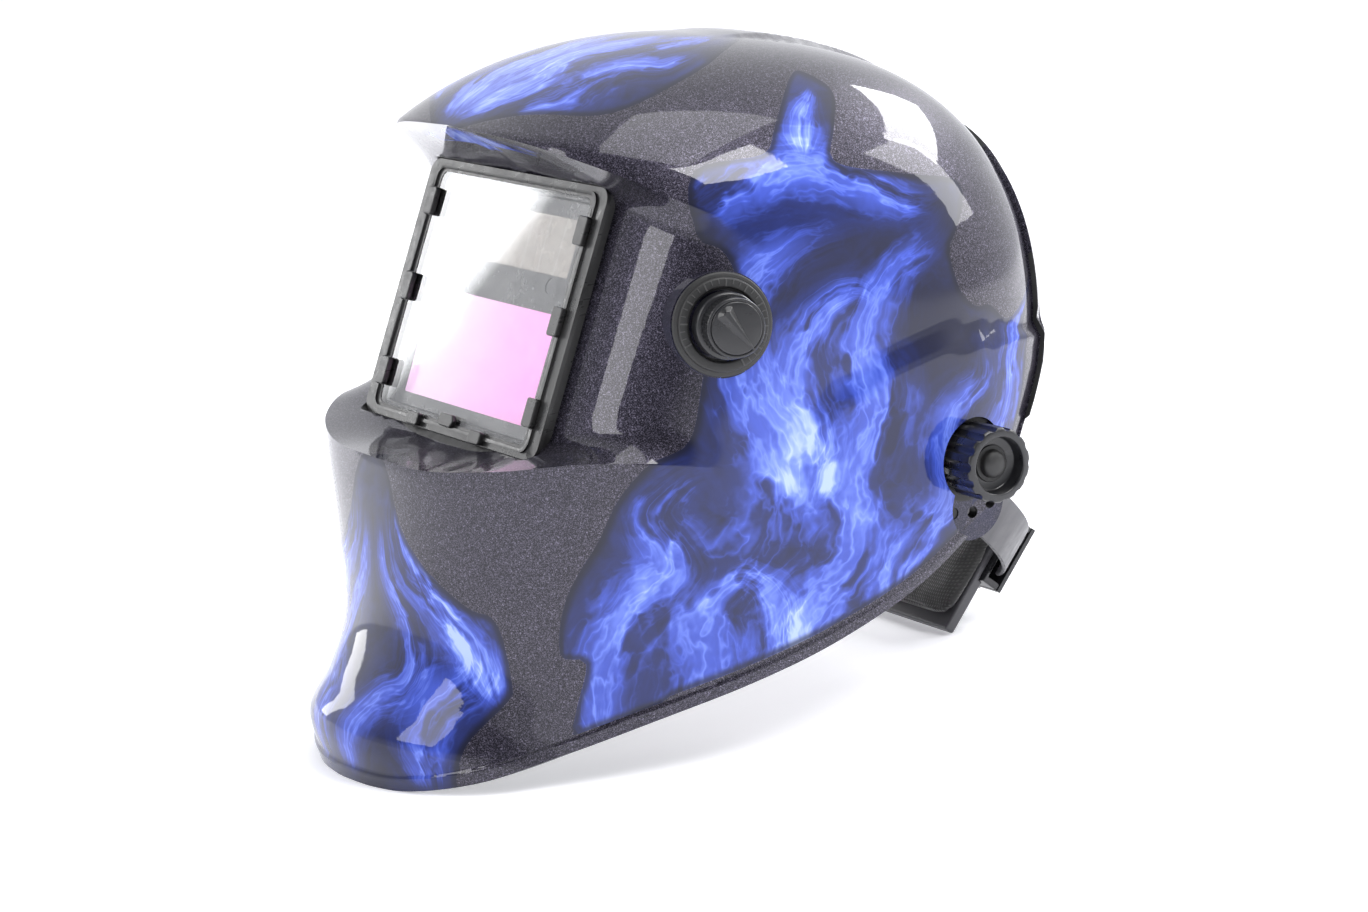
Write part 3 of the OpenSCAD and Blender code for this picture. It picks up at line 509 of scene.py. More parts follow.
def shell_radius(turn, z):
    """Distance from the shell's own upright axis, at a turn in degrees and a height."""
    up = z >= 0
    half_w = np.where(up, HALF_W * dome(z, 2.9), curve(LOW_WIDTH, z))
    front = np.where(z >= 63, (BROW_REACH + 23) * dome(z, 2),
                     np.where(up, BROW_REACH + 4 * (1 - z / 63), curve(LOW_FRONT, z)))
    back = np.where(up, REAR_REACH * dome(z, 2.3), REAR_REACH)
    front_power = np.where(z >= 63, 2.7 - 0.6 * (z - 63) / 60.5,
                           np.where(up, 3.5 - 0.8 * z / 63, curve(LOW_POWER, z)))
    back_power = 2.6 - 0.45 * bound((z - 20) / 70)
    rad = np.radians(turn)
    outer = np.where(turn < 90, oval(rad, half_w, front, front_power), oval(rad, half_w, back, back_power))
    face = oval(rad, FACE_W, FACE_REACH - FACE_SLOPE * z, FACE_POWER)
    depth = (drop((curve(BROW_LINE, turn) - z) / LEDGE) * drop((z - curve(SHELF_LINE, turn)) / LEDGE)
             * (1 - ease((turn - 44) / 26)))
    side = 3.0 * ease((turn - 72) / 12) * ease((curve(SIDE_LINE, turn) - z) / 3.8) * ease((z + 90) / 60)
    return outer + side + (np.minimum(outer, face) - outer) * depth


def row_splits():
    """Rows of the shell, as (stretch, share): close together at the brow, the shelf and the rim."""
    crown = [1 - math.cos(math.radians(90 * k / 36)) for k in range(1, 36)] + [0.975, 0.99]
    near = [0, 0.02, 0.05, 0.09, 0.14, 0.2, 0.28, 0.37, 0.47, 0.58, 0.7, 0.84]
    face = [k / 14 for k in range(15)]
    shelf = [1 - s for s in near[::-1]]
    chin = ([0.004, 0.012] + [0.025 + 0.91 * k / 30 for k in range(31)]
            + [0.94 + 0.005 * k for k in range(1, 13)])
    return ([(0, s) for s in sorted(crown)] + [(1, s) for s in near] + [(2, s) for s in face]
            + [(3, s) for s in shelf] + [(4, s) for s in chin])


def shell_grid():
    splits = row_splits()
    t = np.abs(np.linspace(-180, 180, COLUMNS, endpoint=False))
    sign = np.sign(np.linspace(-180, 180, COLUMNS, endpoint=False))
    rim = curve(RIM_HEIGHT, t)
    brow, shelf = curve(BROW_LINE, t), curve(SHELF_LINE, t)
    feature = [np.full_like(t, CROWN), brow, brow - LEDGE, shelf + LEDGE, shelf, rim]
    spread = ease((t - 48) / 57)
    keys = [f + (CROWN + (rim - CROWN) * e - f) * spread for f, e in zip(feature, EVEN_SPLIT)]
    rows = []
    for k, s in splits:
        z = keys[k] + (keys[k + 1] - keys[k]) * s
        fall = (CROWN - z) / (CROWN - rim)
        bent = t + (curve(RIM_TURN, t) - t) * fall**2
        r = shell_radius(bent, z)
        at = np.radians(bent)
        rows.append(np.stack([sign * r * np.sin(at), AXIS_Y - r * np.cos(at), z], -1))
    return np.array(rows)


def grid_normals(g):
    across = np.roll(g, -1, 1) - np.roll(g, 1, 1)
    down = np.empty_like(g)
    down[1:-1] = g[2:] - g[:-2]
    down[0], down[-1] = g[1] - g[0], g[-1] - g[-2]
    n = np.cross(down, across)
    return n / np.linalg.norm(n, axis=-1, keepdims=True)


RIM_BAND, RIM_RISE = 6.2, 1.1


def shell_mesh():
    outer = shell_grid()
    normal = grid_normals(outer)
    if (normal[20, :, 2] < 0).mean() > 0.5:
        normal = -normal
    inner = outer - WALL * normal
    bare = outer
    # A low bead along the rim
    reach = np.linalg.norm(np.diff(outer, axis=0), axis=-1)
    left = np.concatenate([np.cumsum(reach[::-1], 0)[::-1], np.zeros((1, COLUMNS))])
    outer = outer + (RIM_RISE * ease((RIM_BAND - left) / 1.2))[..., None] * normal
    # A raised spine over the back of the crown
    spine = (ease((24 - np.abs(outer[..., 0])) / 5) * ease((outer[..., 1] - 62) / 26)
             * ease((178 - outer[..., 1]) / 8) * (outer[..., 2] > 40))
    outer = outer + (1.9 * spine)[..., None] * normal
    keep = sorted(set(list(range(0, len(outer), 3)) + [len(outer) - 1]))
    bare, inner, n = bare[keep], inner[keep], normal[keep]
    for _ in range(4):
        inner[1:-1] = (inner[:-2] + 2 * inner[1:-1] + inner[2:]) / 4
    depth = ((bare - inner) * n).sum(-1, keepdims=True)
    inner -= n * np.maximum(0, WALL - 0.4 - depth)
    edge = (outer[-1] + inner[-1]) / 2 + 0.7 * (outer[-1] - outer[-3]) / np.linalg.norm(
        outer[-1] - outer[-3], axis=-1, keepdims=True)
    layers = [*outer, edge, *inner[::-1]]
    verts = np.concatenate([[[0, AXIS_Y, CROWN]], np.concatenate(layers), [[0, AXIS_Y, CROWN - WALL]]])
    faces = [(0, 1 + (c + 1) % COLUMNS, 1 + c) for c in range(COLUMNS)]
    for r in range(len(layers) - 1):
        a, b = 1 + r * COLUMNS, 1 + (r + 1) * COLUMNS
        faces += [(a + c, a + (c + 1) % COLUMNS, b + (c + 1) % COLUMNS, b + c) for c in range(COLUMNS)]
    last = 1 + (len(layers) - 1) * COLUMNS
    faces += [(last + c, last + (c + 1) % COLUMNS, len(verts) - 1) for c in range(COLUMNS)]
    outside = COLUMNS * (1 + len(outer))
    return verts, faces, outside


def prism(outline, low, high):
    n = len(outline)
    verts = [(x, y, low) for x, y in outline] + [(x, y, high) for x, y in outline]
    faces = [list(range(n))[::-1], [n + k for k in range(n)]]
    faces += [[k, (k + 1) % n, n + (k + 1) % n, n + k] for k in range(n)]
    return verts, faces


def round_box(w, h, r, steps=6):
    pts = []
    for cx, cy, start in ((1, 1, 0), (-1, 1, 90), (-1, -1, 180), (1, -1, 270)):
        for k in range(steps + 1):
            a = math.radians(start + 90 * k / steps)
            pts.append((cx * (w / 2 - r) + r * math.cos(a), cy * (h / 2 - r) + r * math.sin(a)))
    return pts


def circle(r, steps=64, at=(0, 0)):
    return [(at[0] + r * math.cos(2 * math.pi * k / steps), at[1] + r * math.sin(2 * math.pi * k / steps))
            for k in range(steps)]


def tool(name, parts, material=1):
    """One mesh of several closed solids, for a boolean."""
    bm = bmesh.new()
    for (verts, faces), place in parts:
        scale = place @ Matrix.Scale(MM, 4)
        made = [bm.verts.new(scale @ Vector(v)) for v in verts]
        for f in faces:
            bm.faces.new([made[i] for i in f])
    bmesh.ops.recalc_face_normals(bm, faces=bm.faces)
    mesh = bpy.data.meshes.new(name)
    bm.to_mesh(mesh)
    bm.free()
    mesh.materials.append(PAINT)
    mesh.materials.append(INNER)
    mesh.polygons.foreach_set("material_index", [material] * len(mesh.polygons))
    obj = bpy.data.objects.new(name, mesh)
    bpy.context.scene.collection.objects.link(obj)
    return obj


def carve(obj, other, overlapping=False):
    """Cuts other out of obj, and removes other."""
    m = obj.modifiers.new("carve", "BOOLEAN")
    m.operation, m.solver, m.object = "DIFFERENCE", "EXACT", other
    m.use_self = overlapping
    bpy.context.view_layer.update()
    graph = bpy.context.evaluated_depsgraph_get()
    mesh = bpy.data.meshes.new_from_object(obj.evaluated_get(graph))
    obj.modifiers.clear()
    old, obj.data = obj.data, mesh
    bpy.data.meshes.remove(old)
    bpy.data.objects.remove(other)


PIN_REACH, PIN_TURN = 22, 23


def pins(side, radius, share=1.0, turns=(0, 1, 2)):
    """Circles at the adjuster pin holes, in the frame that looks out along the pivot."""
    spots = []
    for k in turns:
        a = math.radians(PIN_TURN * k)
        y, z = PIN_REACH * share * math.sin(a), -PIN_REACH * share * math.cos(a)
        # The outward frame's x runs down the helmet on the left and up on the right
        spots.append(circle(radius, 40, at=(-z * side, y)))
    return spots


def paint_outside(mesh):
    """Gives the rim bead's own step the outside's paint."""
    middle = HELMET @ Vector((0, AXIS_Y * MM, -30 * MM))
    for face in mesh.polygons:
        away = face.center - middle
        if face.material_index == 1 and away.y > 0 and face.normal.dot(away.normalized()) > 0.3:
            face.material_index = 0


BOSS_R, BOSS_IN, BOSS_OUT = 17, 103.5, 109.5
PIN_BOSS_R, PIN_BOSS_IN, PIN_BOSS_OUT = 15, 104, 109
PIN_BOSS_REACH, PIN_R, BOLT_R = 17.7, 2.3, 4.1
SEAT_R, SEAT_DEEP, SHAFT_R = 19.4, 9.9, 4.7
SKIM = 0.02


def build_shell():
    verts, faces, outside = shell_mesh()
    mesh = bpy.data.meshes.new("helmet_skin")
    scale = HELMET @ Matrix.Scale(MM, 4)
    mesh.from_pydata([scale @ Vector(v) for v in verts.tolist()], [], faces)
    mesh.materials.append(PAINT)
    mesh.materials.append(INNER)
    mesh.polygons.foreach_set("material_index", [0 if k < outside else 1 for k in range(len(faces))])
    face_outwards(mesh)
    skin = bpy.data.objects.new("helmet_skin", mesh)
    bpy.context.scene.collection.objects.link(skin)

    boss, cuts = [(prism(circle(SEAT_R, 72), -SEAT_DEEP, -SKIM), DIAL)], []
    arc = math.radians(PIN_TURN)
    for side, place in ((1, KNOB_LEFT), (-1, KNOB_RIGHT)):
        mid = (PIN_BOSS_REACH * math.cos(arc) * side, PIN_BOSS_REACH * math.sin(arc))
        boss.append((prism(circle(BOSS_R, 72), BOSS_IN, BOSS_OUT), place))
        boss.append((prism(circle(PIN_BOSS_R, 60, at=mid), PIN_BOSS_IN, PIN_BOSS_OUT), place))
        cuts.append((prism(circle(BOSS_R - 1, 72), BOSS_OUT - SKIM, 125), place))
        cuts.append((prism(circle(PIN_BOSS_R - 2, 60, at=mid), PIN_BOSS_OUT + SKIM, 125), place))
        cuts.append((prism(circle(BOLT_R, 32), 95, 122), place))
        cuts += [(prism(spot, 95, 120), place) for spot in pins(side, PIN_R)]
    cuts.append((prism(circle(SEAT_R + 0.1, 72), 0, 12), DIAL))
    cuts.append((prism(circle(SHAFT_R, 32), -14, 1), DIAL))
    cuts.append((prism(round_box(134, 100, 1.0), -40, 1), LENS @ turned("X", 90)))
    cuts.append((prism(round_box(138.1, 103.9, 6), 0, 14), LENS @ turned("X", 90)))
    seats = tool("shell_seats", boss, 0)
    carve(seats, tool("cuts", cuts), True)
    carve(skin, tool("cuts", cuts), True)
    finish_shading(seats.data, 42)
    enlist(with_bevel(seats, 0.4), "shell", "shell_paint", "shell")
    paint_outside(skin.data)
    finish_shading(skin.data, 42)
    draw_paint(skin)
    enlist(skin, "shell", "shell_paint", "shell")


# ---------- Painted panels and smoke, drawn in degrees round the shell and millimetres up it ----------
DEGREE = 2.0
SIDE_PANEL = [(46.5, 64), (49, 41.4), (53, 38.3), (56, 30.1), (55.5, 10), (54.5, -5), (54.5, -31.1),
              (49.5, -42.2), (46, -57.2), (44, -73.3), (40, -97.4), (40, -118.3), (44.5, -119),
              (44, -141), (45, -175), (70, -160), (100, -120), (127, -70), (122.5, -25), (123.1, 4.9),
              (122.3, 32), (130.8, 57.5), (118, 36), (110.7, 38.9), (107.7, 37.5), (104.8, 38.2),
              (101.4, 43.5), (98.4, 55.8), (99.9, 62.1), (102.5, 81.1), (86, 79.5), (70.5, 78),
              (70, 90.7), (70, 104.7), (61.5, 109.5), (59, 105.8), (58, 96), (57.5, 84.8), (56.5, 75)]
CHIN_PANEL = [(-20, -58), (0, -62), (5, -68.4), (8.5, -86.4), (14.5, -98.9), (23.5, -109.3), (28.5, -111.5),
              (32, -131.5), (32.5, -138.1), (27.5, -155.9), (26.5, -172.9), (26, -205), (-20, -205)]
CROWN_PANEL = [(-30, -45), (9, -33), (35, -22), (60, -7), (66, 10), (60, 34), (46, 53), (25, 72),
               (0, 80), (-30, 82)]
# Plumes: set, half width, and the way from root to tip
SIDE_PLUMES = [
    (0, 17, [(60, -150), (66, -118), (63, -88), (72, -58), (68, -28), (60, -6), (58, 16), (61, 38),
             (70, 52), (80, 60)]),
    (1, 13, [(50, -150), (47, -122), (50, -98), (56, -78), (51, -60), (55, -45), (61, -40)]),
    (2, 19, [(88, -122), (84, -92), (90, -62), (84, -34), (88, -8), (82, 18), (86, 42), (94, 58), (99, 72)]),
    (3, 14, [(106, -92), (102, -62), (108, -36), (104, -8), (110, 12), (107, 30)]),
    (1, 9, [(118, -40), (115, -18), (119, 4), (117, 24), (123, 42), (129, 56)]),
    (3, 13, [(48, 50), (56, 66), (64, 74), (76, 72), (88, 70), (98, 76)]),
    (3, 12, [(70, -138), (78, -122), (80, -102), (76, -84), (69, -76), (64, -82)]),
    (1, 12, [(78, -44), (76, -20), (70, 2), (72, 22), (78, 34), (84, 30)]),
    (1, 8, [(64, 80), (63, 92), (65, 104)]),
]
CHIN_PLUMES = [
    (0, 11, [(22, -180), (20, -150), (26, -132), (20, -114), (11, -102), (7, -84), (9, -66)]),
    (1, 9, [(4, -182), (6, -158), (13, -140), (10, -122), (4, -106), (2, -80)]),
    (2, 7, [(30, -140), (24, -124), (17, -112), (10, -92)]),
]
CROWN_PLUMES = [
    (0, 14, [(6, -28), (20, -10), (16, 10), (28, 30), (24, 52), (10, 66)]),
    (1, 12, [(30, -20), (42, -6), (40, 12), (50, 26), (44, 44)]),
    (2, 10, [(0, -30), (4, -8), (2, 14), (10, 34), (6, 54)]),
]


def spline(points, steps):
    """A smooth line through points."""
    p = np.array(points, float)
    t = np.linspace(0, len(p) - 1, steps)
    i = np.minimum(t.astype(int), len(p) - 2)
    u = (t - i)[:, None]
    a, b, c, d = p[np.maximum(i - 1, 0)], p[i], p[i + 1], p[np.minimum(i + 2, len(p) - 1)]
    return 0.5 * (2 * b + (c - a) * u + (2 * a - 5 * b + 4 * c - d) * u**2 + (3 * b - a - 3 * c + d) * u**3)


def rounded_loop(points, per=5):
    p = np.array(points, float)
    n = len(p)
    out = []
    for k in range(n):
        a, b, c, d = p[k - 1], p[k], p[(k + 1) % n], p[(k + 2) % n]
        for u in np.arange(per) / per:
            out.append(0.5 * (2 * b + (c - a) * u + (2 * a - 5 * b + 4 * c - d) * u**2
                              + (3 * b - a - 3 * c + d) * u**3))
    return np.array(out)


def inside_by(at, loop):
    """Signed distance into a closed loop."""
    best = np.full(len(at), 1e9)
    inside = np.zeros(len(at), bool)
    for p, q in zip(loop, np.roll(loop, -1, 0)):
        d = q - p
        t = np.clip(((at - p) @ d) / max(d @ d, 1e-9), 0, 1)
        best = np.minimum(best, np.linalg.norm(at - p - t[:, None] * d, axis=1))
        crosses = (p[1] > at[:, 1]) != (q[1] > at[:, 1])
        with np.errstate(divide="ignore", invalid="ignore"):
            x = p[0] + (at[:, 1] - p[1]) / (q[1] - p[1]) * d[0]
        inside ^= crosses & (at[:, 0] < x)
    return np.where(inside, best, -best)


def plume_flow(at, width, way):
    """Distance along a plume, signed share of its width across it, and how strong it is there."""
    line = spline(way, 44)
    seg = np.diff(line, axis=0)
    size = np.linalg.norm(seg, axis=1)
    start = np.concatenate([[0], np.cumsum(size)])
    best = np.full(len(at), 1e9)
    along, across = np.zeros(len(at)), np.zeros(len(at))
    for k, (p, d) in enumerate(zip(line, seg)):
        t = ((at - p) @ d) / (size[k] ** 2)
        c = np.clip(t, 0, 1)
        off = at - p - c[:, None] * d
        far = np.linalg.norm(off, axis=1)
        near = far < best
        cross = (d[0] * (at[:, 1] - p[1]) - d[1] * (at[:, 0] - p[0])) / size[k]
        best = np.where(near, far, best)
        along = np.where(near, start[k] + c * size[k], along)
        across = np.where(near, np.sign(cross) * far, across)
    share = along / start[-1]
    girth = width * (0.55 + 0.75 * np.sin(np.pi * np.clip(share, 0, 1) ** 0.8)) * (1 - 0.45 * share)
    strength = np.exp(-((across / girth) ** 2)) * ease(share / 0.08 + 0.25) * ease((1 - share) / 0.2)
    return along, across / girth, strength


def draw_paint(skin):
    mesh = skin.data
    n = len(mesh.vertices)
    flat = np.empty(n * 3)
    mesh.vertices.foreach_get("co", flat)
    back = np.array(HELMET.inverted())
    p = (flat.reshape(-1, 3) @ back[:3, :3].T + back[:3, 3]) / MM
    turn = np.degrees(np.arctan2(np.abs(p[:, 0]), AXIS_Y - p[:, 1]))
    round_at = np.stack([turn * DEGREE, p[:, 2]], -1)
    top_at = np.stack([np.abs(p[:, 0]), p[:, 1]], -1)
    stretch = np.array([DEGREE, 1])
    panel = np.maximum(inside_by(round_at, rounded_loop(SIDE_PANEL) * stretch),
                       inside_by(round_at, rounded_loop(CHIN_PANEL) * stretch))
    top = np.where(p[:, 2] > 58, inside_by(top_at, rounded_loop(CROWN_PANEL)), -50)
    panel = np.maximum(panel, top)
    # The rim bead stays charcoal beside the side panel
    low = np.interp(turn, *np.array([(curve(RIM_TURN, np.array([float(t)]))[0],
                                      curve(RIM_HEIGHT, np.array([float(t)]))[0]) for t in range(0, 181, 3)]).T)
    band = (p[:, 2] - low) * np.where(turn > 60, 0.78, 0.95) - RIM_BAND
    panel = np.where(turn > 36, np.minimum(panel, band), panel)
    attr = mesh.attributes.new("panel", "FLOAT", "POINT")
    attr.data.foreach_set("value", panel.astype(np.float32))
    for k in range(PLUME_SETS):
        flow = np.zeros((n, 3))
        for plumes, at, scale, here in ((SIDE_PLUMES, round_at, stretch, (turn > 36)),
                                        (CHIN_PLUMES, round_at, stretch, (turn <= 36) & (p[:, 2] < 0)),
                                        (CROWN_PLUMES, top_at, np.ones(2), (p[:, 2] > 58) & (top > -3))):
            for group, width, way in plumes:
                if group != k:
                    continue
                along, across, strength = plume_flow(at, width, np.array(way) * scale)
                take = (strength > flow[:, 2]) & here
                flow[take] = np.stack([along + 300 * width, across, strength], -1)[take]
        attr = mesh.attributes.new(f"plume{k}", "FLOAT_VECTOR", "POINT")
        attr.data.foreach_set("vector", flow.astype(np.float32).ravel())


build_shell()


# ---------- Hard parts ----------
BOX_FACES = ((3, 2, 1, 0), (4, 5, 6, 7), (0, 1, 5, 4), (1, 2, 6, 5), (2, 3, 7, 6), (3, 0, 4, 7))


def turned_part(name, profile, steps, place, mat, body, slot, *nodes, reshape=None, sharp=40):
    verts, faces = lathe(profile, steps, reshape)
    return shown(name, verts, faces, place, [mat], body, slot, *nodes, sharp=sharp)


def fluted(count, outer, at, r):
    """Reshapes a lathe's outside with round flutes cut at a radius."""
    def reshape(angle, radius, _z):
        if radius < outer - 2.4:
            return radius
        off = (angle * count / (2 * math.pi) + 0.5) % 1 - 0.5
        a = off * 2 * math.pi / count
        side = at * math.sin(a)
        if abs(side) >= r:
            return radius
        cut = at * math.cos(a) - math.sqrt(r * r - side * side)
        return min(radius, cut)
    return reshape


def build_dial():
    ring = ([(12.6, 0.0), (18.7, 0.0)] + arc_profile(18.2, 0.8, 0.8, -40, 80, 4) + [(17.2, 1.75)]
            + arc_profile(16.3, 2.4, 0.8, 0, 90, 4) + arc_profile(14.2, 2.4, 0.8, 90, 180, 4)
            + [(13.3, 1.2), (12.6, 1.0)])
    verts, faces = lathe(ring + [ring[0]], 96)
    shown("dial_scale_ring", verts, faces, DIAL, [SATIN], "shell", "knob_black", "dial_ring")
    # Raised ticks round the scale, one longer in every three
    verts, faces = [], []
    for k in range(28):
        a = math.radians(40 + 10 * k)
        inner, outer_r = (13.9, 16.6) if k % 3 == 0 else (14.9, 16.6)
        half = 0.26 if k % 3 == 0 else 0.18
        c, q = math.cos(a), math.sin(a)
        base = len(verts)
        for z in (2.9, 3.42):
            for r, w in ((inner, -half), (outer_r, -half), (outer_r, half), (inner, half)):
                verts.append((r * c - w * q, r * q + w * c, z))
        faces += [[base + i for i in f] for f in BOX_FACES]
    shown("dial_ticks", verts, faces, DIAL, [TICK], "shell", "knob_black", smooth=False)
    base = ([(0, 6.6), (8.2, 6.6), (8.2, 2.2), (11.6, 2.2)] + arc_profile(11.5, 3.0, 0.7, -60, 0, 3)
            + arc_profile(11.2, 8.1, 1.0, 0, 80, 4) + [(10.4, 9.2)])
    skirt = ([(10.4, 9.2), (10.9, 9.5), (10.9, 16.2)] + arc_profile(10.2, 16.4, 0.7, 0, 80, 4)
             + [(9.9, 17.1), (9.6, 16.95)]
             + arc_profile(9.0, 17.2, 0.5, 0, 90, 4) + [(6, 18.0), (0, 18.15)])

    def knurl(angle, r, z):
        if 9.4 < z < 16.3 and r > 10.5:
            return r - 0.42 * (0.5 - 0.5 * math.cos(44 * angle)) ** 0.7
        return r
    turned_part("shade_knob_body", base + skirt[1:], 352, DIAL, BLACK, "shade_knob", "knob_black", "shade_knob",
                reshape=knurl, sharp=60)
    # Wedge pointer across the cap
    turn = turned("Z", 52)
    low = [(11.6, 0), (-7.6, 4.3), (-8.9, 2.2), (-8.9, -2.2), (-7.6, -4.3)]
    high = [(10.2, 0), (-6.8, 1.1), (-7.6, 0.8), (-7.6, -0.8), (-6.8, -1.1)]
    verts = [(x, y, 17.3) for x, y in low] + [(x, y, 19.3) for x, y in high]
    faces = [[4, 3, 2, 1, 0], [5, 6, 7, 8, 9]] + [[k, (k + 1) % 5, 5 + (k + 1) % 5, 5 + k] for k in range(5)]
    pointer = shown("shade_pointer", verts, faces, DIAL @ turn, [BLACK], "shade_knob", "knob_black",
                    "shade_knob")
    with_bevel(pointer, 0.3)


def build_tension_knob(place, label):
    profile = ([(6.1, 0.3), (12.2, 0.3)] + arc_profile(12.6, 1.1, 0.8, -70, 0, 3) + [(13.4, 3.1)]
               + arc_profile(13.65, 4.1, 0.6, -60, 0, 3) + arc_profile(13.0, 20.0, 1.25, 0, 75, 6)
               + [(12.6, 21.35), (11.6, 21.4)] + arc_profile(11.4, 20.8, 0.6, 90, 180, 4)
               + [(10.5, 16.0), (9.9, 15.5), (6.1, 15.5)])
    reshape = fluted(14, 14.25, 15.5, 2.3)
    body, seat = "tension_knob_" + label, place @ moved(0, 0, BOSS_OUT)
    turned_part(body + "_grip", profile + [profile[0]], 336, seat, BLACK, body, "knob_black", body,
                reshape=reshape, sharp=50)
    crown = [math.radians(a) for a in range(10, 90, 10)]
    dome = ([(0, 15.0), (6.9, 15.0)] + arc_profile(6.7, 15.7, 0.4, -30, 60, 3)
            + [(5.4, 16.1), (5.2, 16.4), (5.2, 17.6)]
            + [(5.2 * math.cos(a), 17.6 + 2.4 * math.sin(a)) for a in crown]
            + [(0, 20.0)])
    turned_part("tension_cap_" + label, dome, 72, seat, SATIN, body, "knob_black", "knob_cap_" + label)


def build_ratchet():
    place = RATCHET @ turned("X", -90)
    profile = ([(0, 12.6), (3.9, 12.6), (3.9, 11.4), (15.2, 11.4)] + arc_profile(15.6, 12.3, 0.8, -60, 0, 3)
               + arc_profile(15.2, 17.0, 1.4, 0, 80, 5)
               + [(12.8, 18.45), (12.2, 17.9), (11.0, 17.6), (0, 17.9)])
    turned_part("ratchet_knob_grip", profile, 360, place, BLACK, "ratchet_knob", "knob_black", "ratchet_knob",
                reshape=fluted(18, 17.0, 17.8, 1.9), sharp=50)
    for node in ("ratchet_housing", "ratchet_cover"):
        softened(node, "ratchet", "knob_black", 0.9, BLACK)
    # Ribs over the housing's two ends
    verts, faces = [], []
    for side in (-1, 1):
        for k in range(4):
            x = side * (19.5 + 3.2 * k)
            base = len(verts)
            for y in (10.6, 11.9):
                t = 0.35 * (y - 10.6)
                for sx, sz in ((-0.9 + t, -12.5), (0.9 - t, -12.5), (0.9 - t, 12.5), (-0.9 + t, 12.5)):
                    verts.append((x + sx, y, sz - math.copysign(t, sz)))
            faces += [[base + i for i in f] for f in BOX_FACES]
    ribs = shown("ratchet_ribs", verts, faces, RATCHET, [BLACK], "ratchet", "knob_black", smooth=False)
    with_bevel(ribs, 0.3)


def build_lens_unit():
    for node, width in (("lens_bezel", 0.7), ("lens_clips", 0.5), ("cartridge_front", 0.3),
                        ("cartridge_holder", 0.8)):
        softened(node, "shell", "bezel_black", width, BEZEL)
    # The finger catch below the lens
    outline = [(-6, -46), (-4.6, -43.6), (4.6, -43.6), (6, -46), (4.4, -48.6), (-4.4, -48.6)]
    verts, faces = prism(outline, 1.4, 3.4)
    catch = shown("cover_catch", verts, faces, LENS @ turned("X", 90), [BEZEL], "shell", "bezel_black")
    with_bevel(catch, 0.6)


# ---------- Soft parts and straps ----------
def copied(node, name, mat):
    mesh = frame["nodes"][node].data.copy()
    mesh.name = name
    mesh.materials.clear()
    mesh.materials.append(mat)
    obj = bpy.data.objects.new(name, mesh)
    bpy.context.scene.collection.objects.link(obj)
    return obj


def applied(obj):
    graph = bpy.context.evaluated_depsgraph_get()
    mesh = bpy.data.meshes.new_from_object(obj.evaluated_get(graph))
    obj.modifiers.clear()
    old, obj.data = obj.data, mesh
    bpy.data.meshes.remove(old)


def points_of(mesh):
    flat = np.empty(len(mesh.vertices) * 3)
    mesh.vertices.foreach_get("co", flat)
    return flat.reshape(-1, 3)


def normals_of(mesh):
    flat = np.empty(len(mesh.vertices) * 3, dtype=np.float32)
    mesh.vertex_normals.foreach_get("vector", flat)
    return flat.reshape(-1, 3).astype(float)


PAD_VOXEL, PAD_SHRINK, PAD_SWELL = 0.0026, 0.0012, 0.0016


def puffed(node, name, groove):
    """A foam pad grown from its CAD solid: remeshed, swelled as cloth under pressure, then stitched."""
    obj = copied(node, name, FABRIC)
    r = obj.modifiers.new("voxels", "REMESH")
    r.mode, r.voxel_size = "VOXEL", PAD_VOXEL
    soft = obj.modifiers.new("soft", "SMOOTH")
    soft.factor, soft.iterations = 0.6, 6
    applied(obj)
    start = points_of(obj.data) - PAD_SHRINK * normals_of(obj.data)
    obj.data.vertices.foreach_set("co", start.ravel())
    scene = bpy.context.scene
    cloth = obj.modifiers.new("cloth", "CLOTH")
    cloth.settings.use_pressure = True
    cloth.settings.uniform_pressure_force = 4
    cloth.settings.effector_weights.gravity = 0
    cloth.settings.quality = 6
    for f in range(1, 21):
        scene.frame_set(f)
    graph = bpy.context.evaluated_depsgraph_get()
    swelled = points_of(obj.evaluated_get(graph).data).copy()
    obj.modifiers.clear()
    scene.frame_set(1)
    move = swelled - start
    size = np.linalg.norm(move, axis=1, keepdims=True)
    end = start + move * np.minimum(1, PAD_SWELL / np.maximum(size, 1e-9))
    back = np.array(HEADGEAR.inverted())
    local = (end @ back[:3, :3].T + back[:3, 3]) / MM
    end = end - groove(local)[:, None] * MM * normals_of(obj.data)
    obj.data.vertices.foreach_set("co", end.ravel())
    smooth = obj.modifiers.new("smooth", "SUBSURF")
    smooth.levels = smooth.render_levels = 1
    applied(obj)
    finish_shading(obj.data, 180)
    enlist(obj, "headgear" if node == "sweatband" else "ratchet", "pad_fabric", node)
    return obj


def seam(value, at, depth=0.7, width=0.9):
    return depth * np.exp(-((value - at) / width) ** 2)


def sweatband_groove(p):
    across = seam(p[:, 2], 10.5) + seam(p[:, 2], -10.5)
    turn = np.degrees(np.arctan2(p[:, 0], -(p[:, 1] + 22)))
    for k in range(-3, 4):
        across = np.maximum(across, seam(turn, 15 * k, 0.6, 0.9) * (np.abs(p[:, 2]) < 10.5))
    return across


def nape_groove(p):
    z = p[:, 2] + 15
    lines = np.zeros(len(p))
    for x in (-11, 11):
        lines = np.maximum(lines, seam(p[:, 0], x) * (np.abs(z) < 20))
    edge = np.maximum(np.abs(p[:, 0]) - 28, np.abs(z) - 20)
    return np.maximum(lines, seam(edge, 0, 0.6))


